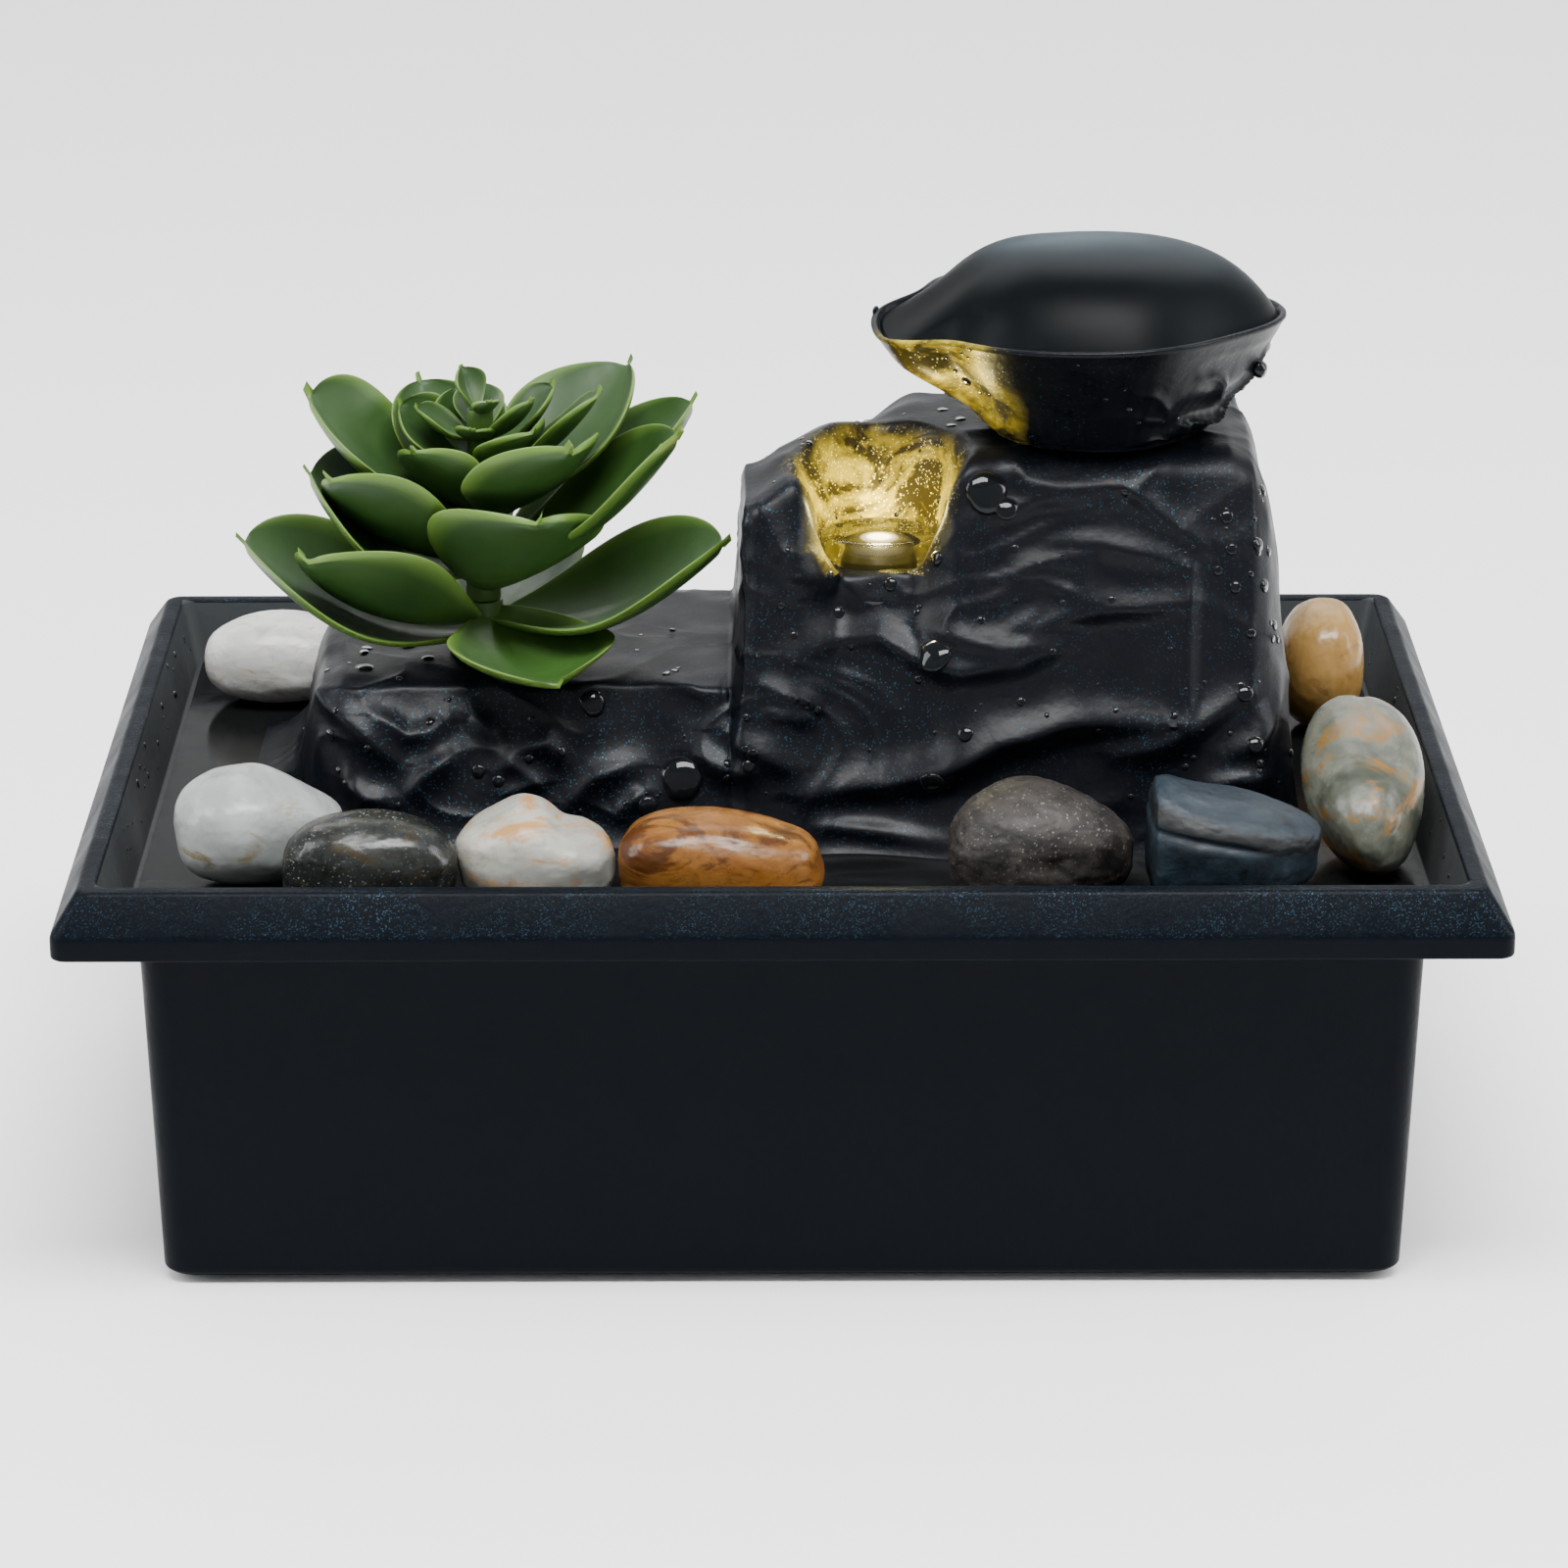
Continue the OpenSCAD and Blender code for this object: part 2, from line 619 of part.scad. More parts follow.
module leaf_ring_2() {
    leaf_ring([
        [295, 27, 14, 32, 0.1, 8.6, -8], [184, 30, 14, 18, 0.3, 11, -20],
        [216, 30, 11, 22, 0.2, 13.4, 18], [350, 36, 12.5, 20, 0.26, 13.6, 10],
        [18, 40, 13, 24, 0.18, 12.2, 0], [110, 26, 10, 24, 0.16, 11.6, 0]
    ], 7.6, 17.2, 2.7);
}

module leaf_ring_3() {
    leaf_ring([
        [180, 31, 12.5, 23, 0.26, 20.4, -12], [36, 34, 13, 31, 0.1, 19, 0],
        [312, 25, 12.5, 28, 0.12, 20.6, 0], [222, 17, 8.5, 34, 0.16, 21, 10],
        [128, 23, 10, 40, 0.1, 21.4, 0]
    ], 17.4, 24.4, 2.4);
}

module leaf_ring_4() {
    leaf_ring([
        [168, 16, 7, 32, 0.16, 26.8, -15], [322, 14, 7.5, 34, 0.12, 26.4, 0],
        [352, 23, 6, 32, 0.12, 25.6, 0], [20, 16, 5.5, 38, 0.1, 28.6, 0], [110, 14, 6, 45, 0.1, 27.6, 0]
    ], 24.6, 30.6, 2.2);
}

module leaf_ring_5() {
    leaf_ring([
        [185, 11, 4.2, 24, 0.12, 32, -10], [330, 12, 4, 34, 0.1, 32, 0], [95, 10, 4, 40, 0.12, 32.2, 0],
        [262, 7, 3.2, 24, 0.1, 32.2, 0]
    ], 30.8, 34.2, 2);
}

module leaf_bud() {
    leaf_ring([[150, 8.5, 3.8, 66, 0, 35.6, 0], [300, 5, 2.4, 50, 0, 35.4, 0]], 34.4, 37.4, 2);
}

// ---------- pump ----------

module pump_body() {
    x0 = axis_x - pump_w / 2;
    color([0.06, 0.06, 0.07]) difference() {
        union() {
            difference() {
                translate([x0, pump_y, pump_z]) soft_block([pump_w, pump_len, pump_h], 1.6);
                translate([x0 + 4, pump_y + 3, pump_z + 2]) cube([pump_w - 8, pump_len, pump_h - 4]);
            }
            y_rod(axis_x, rotor_z, rotor_r + 1.5, pump_y, pump_y + 19.5);
        }
        y_rod(axis_x, rotor_z, rotor_r + 0.3, pump_y - 1, pump_y + 18);
        for (x = [-screw_x, screw_x]) for (z = screw_z) y_rod(axis_x + x, z, 0.95, pump_y - 1, pump_y + 6);
        for (x = [-cup_x, cup_x]) for (y = cup_y) translate([axis_x + x, pump_y + y, pump_z - 1])
            cylinder(r = 1.2, h = 2.4);
    }
}

module pump_back_cover() {
    x0 = axis_x - pump_w / 2 + 4.05;
    color([0.08, 0.08, 0.08]) difference() {
        translate([x0, pump_y + pump_len - 1.6, pump_z + 2.05]) cube([pump_w - 8.1, 1.5, pump_h - 4.1]);
        y_rod(gland_x, gland_z, 2.6, pump_y, pump_y + pump_len + 2);
    }
}

// Rubber gland where the supply cord enters the housing
module pump_gland() {
    y0 = pump_y + pump_len - 2.6;
    color([0.05, 0.05, 0.05]) difference() {
        union() {
            y_rod(gland_x, gland_z, 2.55, y0, y0 + 3);
            y_rod(gland_x, gland_z, 4, y0 + 2.6, y0 + 7);
        }
        y_rod(gland_x, gland_z, cord_r + 0.05, y0 - 1, y0 + 8);
    }
}

module stator_core() {
    y0 = pump_y + 6;
    arm_in = rotor_r + 1.8;
    color([0.45, 0.45, 0.47]) {
        for (x = [-arm_in - 5, arm_in]) translate([axis_x + x, y0, pump_z + 3]) cube([5, 8, 25.5]);
        translate([axis_x - arm_in - 5, y0, pump_z + 24]) cube([2 * arm_in + 10, 8, 4.5]);
    }
}

module stator_coil() {
    y0 = pump_y + 6;
    gap = 0.15;
    color([0.72, 0.36, 0.14]) difference() {
        translate([axis_x - 6.8, y0 - 2.4, pump_z + 21.4]) cube([13.6, 12.8, 9.6]);
        translate([axis_x - 8, y0 - gap, pump_z + 24 - gap]) cube([16, 8 + 2 * gap, 4.5 + 2 * gap]);
    }
}

module impeller() {
    hub_y = pump_y - 6.5;
    color([0.85, 0.85, 0.88]) difference() {
        union() {
            y_rod(axis_x, rotor_z, rotor_r, pump_y - 0.6, pump_y + 15);
            y_rod(axis_x, rotor_z, 7, pump_y - 1.8, pump_y - 0.3);
            y_rod(axis_x, rotor_z, 2.4, hub_y, pump_y);
            for (a = [0:60:359]) translate([axis_x, hub_y, rotor_z]) rotate([0, a, 0])
                translate([1.8, 0.4, -0.5]) cube([5.2, 6, 1]);
        }
        y_rod(axis_x, rotor_z, shaft_r + fit, hub_y - 1, pump_y + 16);
    }
}

module impeller_shaft() {
    color([0.92, 0.92, 0.9]) y_rod(axis_x, rotor_z, shaft_r, pump_y - 9.4, pump_y + 17.6);
}

module shaft_bushes() {
    color([0.08, 0.08, 0.08]) for (y = [[pump_y - 9.6, pump_y - 7], [pump_y + 15.4, pump_y + 17.9]])
        difference() {
            y_rod(axis_x, rotor_z, 2.6, y[0], y[1]);
            y_rod(axis_x, rotor_z, shaft_r, y[0] - 1, y[1] + 1);
        }
}

// Front chamber with the upright nozzle
module volute() {
    y0 = pump_y - 10;
    color([0.07, 0.07, 0.08]) difference() {
        union() {
            translate([axis_x - pump_w / 2, pump_y - 2, pump_z]) cube([pump_w, 1.95, pump_h]);
            y_rod(axis_x, rotor_z, 10.2, y0, pump_y - 1);
            translate([axis_x, axis_y, rotor_z + 4]) cylinder(r = nozzle_r, h = nozzle_top - rotor_z - 4);
            translate([axis_x - 4, axis_y - 4, rotor_z + 6]) cube([8, 7, 14]);
        }
        y_rod(axis_x, rotor_z, 8.4, y0 + 2, pump_y + 1);
        translate([axis_x, axis_y, rotor_z]) cylinder(r = 2.2, h = nozzle_top);
        for (a = [0:90:359]) translate([axis_x, y0, rotor_z]) rotate([0, a + 45, 0])
            translate([4.4, 1, 0]) rotate([90, 0, 0]) cylinder(r = 1.5, h = 5, center = true);
        y_rod(axis_x, rotor_z, 2.6, y0 - 1, y0 + 3);
        for (x = [-screw_x, screw_x]) for (z = screw_z) y_rod(axis_x + x, z, 1.15, pump_y - 3, pump_y + 1);
    }
}

module volute_screws() {
    color([0.72, 0.72, 0.74]) for (x = [-screw_x, screw_x]) for (z = screw_z) {
        y_rod(axis_x + x, z, 1.9, pump_y - 3.5, pump_y - 2);
        y_rod(axis_x + x, z, 0.9, pump_y - 2.1, pump_y + 4.5);
    }
}

// Snap-on strainer cover in front of the chamber
module intake_cover() {
    x0 = axis_x - intake_w / 2;
    z0 = rotor_z - intake_h / 2;
    color([0.05, 0.05, 0.06]) difference() {
        translate([x0, intake_y, z0]) cube([intake_w, intake_len, intake_h]);
        translate([x0 + 1.4, intake_y + 1.5, z0 + 1.4]) cube([intake_w - 2.8, intake_len, intake_h - 2.8]);
        y_rod(axis_x, rotor_z, 1.5 + fit, intake_y - 1, intake_y + 3);
        for (a = [0:3]) translate([axis_x, intake_y, rotor_z]) rotate([0, 90 * a, 0])
            translate([5, 0, 0]) rotate([90, 0, 0]) cylinder(r = 1.7, h = 5, center = true);
        for (x = [-8:3:7]) translate([axis_x + x, intake_y + 3, z0 - 1]) cube([1.2, 7, intake_h + 2]);
    }
}

module filter_sponge() {
    w = intake_w - 3.2;
    h = intake_h - 3.2;
    color([0.12, 0.12, 0.14]) translate([axis_x - w / 2, intake_y + 4.6, rotor_z - h / 2]) cube([w, 7.4, h]);
}

// Rotating shutter over the intake holes
module flow_dial() {
    y0 = intake_y - 1.7;
    color([0.5, 0.5, 0.5]) difference() {
        union() {
            y_rod(axis_x, rotor_z, 7.6, y0, intake_y - 0.1);
            y_rod(axis_x, rotor_z, 1.5, intake_y - 0.2, intake_y + 2.6);
            translate([axis_x - 0.8, y0 - 1.8, rotor_z - 5.5]) cube([1.6, 2, 11]);
        }
        for (a = [0:3]) translate([axis_x, intake_y, rotor_z]) rotate([0, 90 * a + 45, 0])
            translate([5, 0, 0]) rotate([90, 0, 0]) cylinder(r = 1.7, h = 9, center = true);
    }
}

module suction_cups() {
    leg = pump_z - floor_top;
    color([0.1, 0.1, 0.1])
    for (x = [-cup_x, cup_x]) for (y = cup_y) translate([axis_x + x, pump_y + y, floor_top])
        rotate_extrude() polygon([
            [0, 0.8], [1.6, 0.6], [3.4, 0], [3.7, 0], [2.2, 1.5], [1.5, 2], [1.5, leg],
            [1.15, leg], [1.15, leg + 1.2], [0, leg + 1.2]
        ]);
}

// ---------- pebbles ----------

// Polished stone lying on the deck: centre in plan, half sizes, turn, tilt, squareness, a
// seed for its irregularity, and how far a tilted stone is lifted to clear the deck
module pebble(x, y, rx, ry, rz, turn, tilt, square, seed, lift = 0) {
    rows = 8;
    cols = 14;
    p = 2 / square;
    translate([x, y, deck_z + 0.2 + lift + rz]) rotate([tilt[0], tilt[1], turn]) loft([
        for (j = [0:rows])
            let (lat = -84 + 168 * j / rows, zz = sin(lat), rr = pow(cos(lat), p))
            [for (i = [0:cols - 1])
                let (
                    a = 360 * i / cols,
                    k = 1 + 0.05 * sin(2 * a + seed) + 0.035 * sin(3 * a + 2 * seed + lat)
                        + 0.03 * sin(a + 3 * seed)
                )
                [
                    rx * rr * k * sign(cos(a)) * pow(abs(cos(a)), p),
                    ry * rr * k * sign(sin(a)) * pow(abs(sin(a)), p),
                    rz * zz
                ]]
    ]);
}

module pebble_white() { color([0.75, 0.76, 0.76]) pebble(-78, -39, 12.4, 10, 8.6, 10, [0, 0], 2.3, 20); }
module pebble_black() { color([0.1, 0.1, 0.1]) pebble(-60, -52, 12.3, 8.8, 7.6, 0, [0, 0], 2.2, 80); }
module pebble_cream() { color([0.75, 0.7, 0.6]) pebble(-36, -48, 11.4, 9.6, 7.6, 0, [0, 0], 2.4, 130); }
module pebble_amber() { color([0.62, 0.36, 0.14]) pebble(-8.8, -49, 15.4, 8.6, 6.9, 0, [0, 0], 2.6, 200); }
module pebble_brown() { color([0.2, 0.17, 0.16]) pebble(37.4, -46, 14.4, 11, 8.8, 0, [0, 0], 2.1, 260); }
module pebble_slate() { color([0.16, 0.22, 0.27]) pebble(67, -47, 13.4, 10, 9.2, 0, [0, 0], 2.7, 310); }
module pebble_olive() {
    color([0.42, 0.42, 0.36]) pebble(86.8, -26.5, 9, 19.5, 8.8, 0, [15, 0], 2.2, 30, 1.6);
}
module pebble_tan() { color([0.6, 0.38, 0.18]) pebble(86.4, 30, 6.4, 11, 10.2, 0, [0, 0], 2.2, 70); }
module pebble_ivory() { color([0.78, 0.76, 0.7]) pebble(87.5, 8, 5, 6, 4, 0, [0, 0], 2.2, 50); }
module pebble_milk() { color([0.78, 0.77, 0.75]) pebble(-80.5, 43.5, 11.5, 9.5, 7, 0, [0, 0], 2.2, 100); }
module pebble_rear_grey() { color([0.35, 0.36, 0.38]) pebble(-50, 52.6, 12, 8, 7, 0, [0, 0], 2.2, 160); }
module pebble_rear_rust() { color([0.5, 0.27, 0.14]) pebble(-20, 52.8, 11, 7.6, 7.5, 0, [0, 0], 2.2, 220); }
module pebble_rear_green() { color([0.24, 0.3, 0.26]) pebble(14, 53.2, 13, 7.4, 6.6, 0, [0, 0], 2.2, 290); }

basin();
rubber_feet();
cable_grommet();
deck_tray();
deck_screws();
rockery_shell();
upper_bowl();
bowl_outlet();
bowl_coupler();
riser_pipe();
hose();
led_housing();
led_lens();
led_seal();
led_board();
led_chip();
led_lead();
led_plug();
led_socket();
plant_socket();
plant_stem();
leaf_ring_1();
leaf_ring_2();
leaf_ring_3();
leaf_ring_4();
leaf_ring_5();
leaf_bud();
pump_body();
pump_back_cover();
stator_core();
stator_coil();
impeller();
impeller_shaft();
shaft_bushes();
volute();
volute_screws();
intake_cover();
filter_sponge();
flow_dial();
suction_cups();
pump_gland();
pebble_white();
pebble_black();
pebble_cream();
pebble_amber();
pebble_brown();
pebble_slate();
pebble_olive();
pebble_tan();
pebble_ivory();
pebble_milk();
pebble_rear_grey();
pebble_rear_rust();
pebble_rear_green();
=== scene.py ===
"""Looks of the tabletop water fountain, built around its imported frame, in metres."""
import math
import random

import bmesh
import bpy
import numpy as np
from mathutils import Matrix, Vector, noise
from mathutils.bvhtree import BVHTree


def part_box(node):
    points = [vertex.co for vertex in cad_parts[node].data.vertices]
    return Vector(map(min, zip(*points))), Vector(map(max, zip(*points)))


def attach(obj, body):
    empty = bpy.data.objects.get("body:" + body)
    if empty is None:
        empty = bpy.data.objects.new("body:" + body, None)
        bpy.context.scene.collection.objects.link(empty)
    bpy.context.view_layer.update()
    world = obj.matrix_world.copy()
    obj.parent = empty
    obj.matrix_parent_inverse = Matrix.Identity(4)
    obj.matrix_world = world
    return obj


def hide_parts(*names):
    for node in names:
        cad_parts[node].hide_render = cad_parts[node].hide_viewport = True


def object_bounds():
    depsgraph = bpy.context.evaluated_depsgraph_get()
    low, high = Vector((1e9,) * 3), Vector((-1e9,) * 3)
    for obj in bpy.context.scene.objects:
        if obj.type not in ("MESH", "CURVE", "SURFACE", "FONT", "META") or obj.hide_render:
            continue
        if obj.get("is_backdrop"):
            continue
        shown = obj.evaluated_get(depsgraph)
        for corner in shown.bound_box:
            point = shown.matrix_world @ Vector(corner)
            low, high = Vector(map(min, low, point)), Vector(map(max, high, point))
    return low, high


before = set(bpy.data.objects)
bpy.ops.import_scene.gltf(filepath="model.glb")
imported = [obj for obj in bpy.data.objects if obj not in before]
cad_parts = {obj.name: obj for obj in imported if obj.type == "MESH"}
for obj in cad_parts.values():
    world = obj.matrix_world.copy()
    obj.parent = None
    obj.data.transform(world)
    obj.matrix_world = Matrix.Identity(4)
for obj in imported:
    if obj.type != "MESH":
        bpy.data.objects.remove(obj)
cad_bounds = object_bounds()
MM = 0.001


# ---------- places taken from the frame ----------

def middle(node):
    lo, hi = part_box(node)
    return (lo + hi) / 2


BASIN_LO, BASIN_HI = (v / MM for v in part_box("basin"))
DECK_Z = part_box("deck_tray")[1].z / MM
AXIS = middle("riser_pipe") / MM
LED = middle("led_lens") / MM
LED_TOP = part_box("led_lens")[1].z / MM
STEM = middle("plant_stem") / MM
SEAT_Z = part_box("bowl_coupler")[1].z / MM + 0.5
PLATEAU_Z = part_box("plant_socket")[1].z / MM - 0.8


# ---------- mesh helpers (all take millimetres and store metres) ----------

def shade(mesh, sharp=None):
    """Smooth shading, broken where faces meet at more than sharp degrees."""
    for poly in mesh.polygons:
        poly.use_smooth = True
    if sharp:
        mesh.set_sharp_from_angle(angle=math.radians(sharp))


def mesh_object(name, verts, faces, material, sharp=None):
    mesh = bpy.data.meshes.new(name)
    mesh.from_pydata([tuple(c * MM for c in v) for v in verts], [], faces)
    mesh.validate()
    obj = bpy.data.objects.new(name, mesh)
    bpy.context.scene.collection.objects.link(obj)
    shade(mesh, sharp)
    mesh.materials.append(material)
    return obj


def skin(rings, close_ends=True, first=0):
    """Faces between rings of equal point count, and flat caps on both ends."""
    n = len(rings[0])
    verts = [p for ring in rings for p in ring]
    faces = []
    for j in range(len(rings) - 1):
        low, high = first + j * n, first + (j + 1) * n
        for i in range(n):
            k = (i + 1) % n
            faces.append((low + i, low + k, high + k, high + i))
    if close_ends:
        faces.append(tuple(first + i for i in reversed(range(n))))
        faces.append(tuple(first + (len(rings) - 1) * n + i for i in range(n)))
    return verts, faces


def fillet(points, radii, steps=4):
    """Rounds the corners of a closed outline of (a, b) points."""
    out = []
    count = len(points)
    for i, (p, r) in enumerate(zip(points, radii)):
        p = Vector(p)
        before = Vector(points[i - 1]) - p
        after = Vector(points[(i + 1) % count]) - p
        cut = min(r, before.length * 0.45, after.length * 0.45)
        if cut < 0.02:
            out.append(tuple(p))
            continue
        a = p + before.normalized() * cut
        b = p + after.normalized() * cut
        for s in range(steps + 1):
            t = s / steps
            out.append(tuple(a * (1 - t) ** 2 + p * 2 * t * (1 - t) + b * t ** 2))
    return out


def plate_ring(hx, hy, r, z):
    """Rounded rectangle at height z, anticlockwise from above."""
    ring, steps = [], 10
    for quarter in range(4):
        sx = 1 if quarter in (0, 3) else -1
        sy = 1 if quarter < 2 else -1
        for i in range(steps + 1):
            a = math.radians(90 * quarter + 90 * i / steps)
            ring.append((sx * (hx - r) + r * math.cos(a), sy * (hy - r) + r * math.sin(a), z))
    return ring


def cut_away(obj, cutter):
    """Takes the cutter's shape out of obj, and removes the cutter."""
    modifier = obj.modifiers.new("cut", "BOOLEAN")
    modifier.object = cutter
    modifier.operation = "DIFFERENCE"
    modifier.solver = "EXACT"
    bpy.context.view_layer.update()
    evaluated = obj.evaluated_get(bpy.context.evaluated_depsgraph_get())
    whole, cut_mesh = obj.data, bpy.data.meshes.new_from_object(evaluated)
    obj.modifiers.clear()
    obj.data = cut_mesh
    bpy.data.meshes.remove(whole)
    bpy.data.objects.remove(cutter)


def turns(count):
    """Angles of a full turn, in radians."""
    return np.linspace(0, 2 * math.pi, count, endpoint=False)


def rod(name, x, y, z0, z1, radius, material):
    rings = [[(x + radius * math.cos(a), y + radius * math.sin(a), z) for a in turns(64)] for z in (z0, z1)]
    return mesh_object(name, *skin(rings), material, sharp=30)


# ---------- shape helpers ----------

def ease(a, b, v):
    t = np.clip((v - a) / (b - a), 0, 1)
    return t * t * (3 - 2 * t)


def bell(v, centre, width, power=2):
    """Smooth hump, 1 at centre and falling off over width."""
    return np.exp(-((v - centre) / width) ** power)


def ripple(u, v):
    d = np.radians
    waves = np.sin(d(7.3 * u + 11 * v)) + np.sin(d(13.1 * v - 5.7 * u + 40)) + np.sin(d(17 * u + 61))
    return waves / 3


def from_line(centre, x, y):
    """Distance of points (x, y) from the upright line through centre."""
    return np.hypot(x - centre.x, y - centre.y)


# ---------- materials ----------

class Shader:
    """A Principled material put together from procedural nodes in object space."""

    def __init__(self, name, color, rough, metal=0.0, **sockets):
        self.mat = bpy.data.materials.new(name)
        self.mat.use_nodes = True
        self.nodes = self.mat.node_tree.nodes
        self.links = self.mat.node_tree.links
        self.bsdf = self.nodes["Principled BSDF"]
        self.place = self.add("TexCoord").outputs["Object"]
        self.set("Base Color", color)
        self.set("Roughness", rough)
        self.set("Metallic", metal)
        for key, value in sockets.items():
            self.set(key.replace("_", " "), value)

    def add(self, kind, **values):
        made = self.nodes.new("ShaderNode" + kind)
        for key, value in values.items():
            if key in made.inputs:
                self.feed(made.inputs[key], value)
            else:
                setattr(made, key, value)
        return made

    def feed(self, socket, value):
        if isinstance(value, bpy.types.NodeSocket):
            self.links.new(value, socket)
        elif socket.type == "RGBA" and not hasattr(value, "__len__"):
            socket.default_value = (value, value, value, 1)
        elif socket.type == "RGBA" and len(value) == 3:
            socket.default_value = (*value, 1)
        else:
            socket.default_value = value

    def set(self, name, value):
        self.feed(self.bsdf.inputs[name], value)

    def stretched(self, x, y, z, turn=(0, 0, 0)):
        made = self.add("Mapping", Vector=self.place)
        made.inputs["Scale"].default_value = (x, y, z)
        made.inputs["Rotation"].default_value = [math.radians(a) for a in turn]
        return made.outputs["Vector"]

    def noise(self, scale, detail=4.0, rough=0.5, distortion=0.0, place=None):
        made = self.add("TexNoise", Scale=scale, Detail=detail, Roughness=rough,
                        Distortion=distortion)
        self.links.new(place or self.place, made.inputs["Vector"])
        return made.outputs["Fac"]

    def cells(self, scale):
        made = self.add("TexVoronoi", Scale=scale)
        self.links.new(self.place, made.inputs["Vector"])
        return made.outputs["Color"]

    def ramp(self, value, *stops):
        made = self.add("ValToRGB", Fac=value)
        band = made.color_ramp
        while len(band.elements) < len(stops):
            band.elements.new(0.5)
        for element, (position, color) in zip(band.elements, stops):
            element.position = position
            element.color = (color, color, color, 1) if not hasattr(color, "__len__") else (*color, 1)
        return made.outputs["Color"]

    def mix(self, share, a, b):
        made = self.add("Mix", data_type="RGBA")
        self.feed(made.inputs["Factor"], share)
        first_color, second_color = made.inputs[6:8]
        self.feed(first_color, a)
        self.feed(second_color, b)
        return made.outputs[2]

    def math(self, operation, a, b=0.0):
        made = self.add("Math", operation=operation)
        self.feed(made.inputs[0], a)
        self.feed(made.inputs[1], b)
        return made.outputs[0]

    def plus(self, a, b):
        return self.math("ADD", a, b)

    def minus(self, a, b):
        return self.math("SUBTRACT", a, b)

    def times(self, a, b):
        return self.math("MULTIPLY", a, b)

    def absolute(self, a):
        return self.math("ABSOLUTE", a)

    def more(self, a, b):
        return self.math("GREATER_THAN", a, b)

    def apart(self, vector):
        """The X, Y and Z of a vector, as three sockets."""
        return self.add("SeparateXYZ", Vector=vector).outputs

    def from_axis(self, across, along, x, y):
        """Distance from the upright line at (x, y), in metres."""
        dx, dy = self.minus(across, x), self.minus(along, y)
        return self.math("SQRT", self.plus(self.times(dx, dx), self.times(dy, dy)))

    def wobble(self, scale, detail, reach):
        """Noise between plus and minus half of reach."""
        return self.times(self.minus(self.noise(scale, detail), 0.5), reach)

    def bump(self, height, strength, distance):
        made = self.add("Bump", Height=height, Strength=strength, Distance=distance)
        self.set("Normal", made.outputs["Normal"])


# Painted reflection: the walls within the rim are painted a lighter grey that stands in for the sheen they
# show; how far in, and how far down from where the flakes end
RIM_WALL_IN = 6.3
RIM_WALL_DROP = 5.5
RIM_WALL_PAINTED_SHEEN = (0.030, 0.032, 0.033)

# Painted light: the warm glow of the lamp in the pool, painted into the paint's colour near it as mottled
# golden tones with painted glints; it fades out over 1 / LIT_FADE metres at its ceiling
LIT_FADE = 280
PAINTED_GLOW_DARK = (0.028, 0.021, 0.004)
PAINTED_GLOW_BRIGHT = (0.42, 0.325, 0.026)
PAINTED_GLINT = (0.85, 0.76, 0.24)


def flake_paint(name, base, flake, rough, amount, shine, lit=None, above=None, grain=4800):
    """Dark moulded plastic with very fine metallic flakes, which gather in soft patches.

    lit is (x, y, inner, outer, floor, ceiling) in mm: in that tube the colour is painted with the warm
    golden glow of the lamp below, as painted light.
    above is a height in mm: the flakes end below it, and the walls within the rim get a lighter grey as a
    painted reflection."""
    s = Shader(name, base, rough, Specular_IOR_Level=shine)
    pick = s.more(s.ramp(s.cells(grain), (0, 0), (1, 1)), 1 - amount)
    patches = s.ramp(s.noise(42, 3, 0.55, 1.2), (0.40, 0.08), (0.66, 1))
    share = s.times(pick, patches)
    x, y, z = s.apart(s.place)
    if above is not None:
        share = s.times(share, s.more(z, above * MM))
        # painted reflection: the walls within the rim are made a lighter grey in place of their sheen
        beside = s.math("LESS_THAN", s.absolute(x), (BASIN_HI.x - RIM_WALL_IN) * MM)
        before = s.math("LESS_THAN", s.absolute(y), (BASIN_HI.y - RIM_WALL_IN) * MM)
        within = s.times(s.times(beside, before), s.more(z, (above - RIM_WALL_DROP) * MM))
        base = s.mix(within, base, RIM_WALL_PAINTED_SHEEN)
    tone = s.mix(share, base, flake)
    # painted light: within the tube the colour becomes the painted golden glow of the lamp, with painted
    # glints on the flakes
    if lit:
        lit_x, lit_y, inner, outer, lit_floor, ceiling = (v * MM for v in lit)
        far = s.plus(s.from_axis(x, y, lit_x, lit_y), s.wobble(95, 3, 0.009))
        near = s.ramp(s.math("DIVIDE", far, outer), (inner / outer, 1), (1, 0))
        near = s.times(near, s.more(z, lit_floor))
        under = s.add("Clamp", Value=s.times(s.minus(ceiling, z), LIT_FADE))
        near = s.times(near, under.outputs[0])
        mottle = s.ramp(s.noise(75, 6, 0.66, 1.2), (0.45, 0), (0.60, 1))
        painted_glow = s.mix(mottle, PAINTED_GLOW_DARK, PAINTED_GLOW_BRIGHT)
        painted_glow = s.mix(s.times(pick, 0.7), painted_glow, PAINTED_GLINT)
        tone = s.mix(near, tone, painted_glow)
        share = s.math("MAXIMUM", share, s.times(near, 0.55))
    s.set("Base Color", tone)
    s.set("Metallic", s.times(share, 0.6))
    s.set("Roughness", s.ramp(s.noise(160, 5), (0.3, rough - 0.05), (0.7, rough + 0.08)))
    s.bump(s.noise(900, 4), 0.30, 0.0002)
    return s.mat


def moulded(name, color, rough, grain=1500, strength=0.12, **sockets):
    s = Shader(name, color, rough, **sockets)
    s.set("Base Color", s.mix(s.noise(60, 5), color, tuple(min(1, c * 1.35 + 0.004) for c in color)))
    s.set("Roughness", s.ramp(s.noise(220, 4), (0.3, max(0.05, rough - 0.08)), (0.7, min(1, rough + 0.08))))
    s.bump(s.noise(grain, 3), strength, 0.0002)
    return s.mat


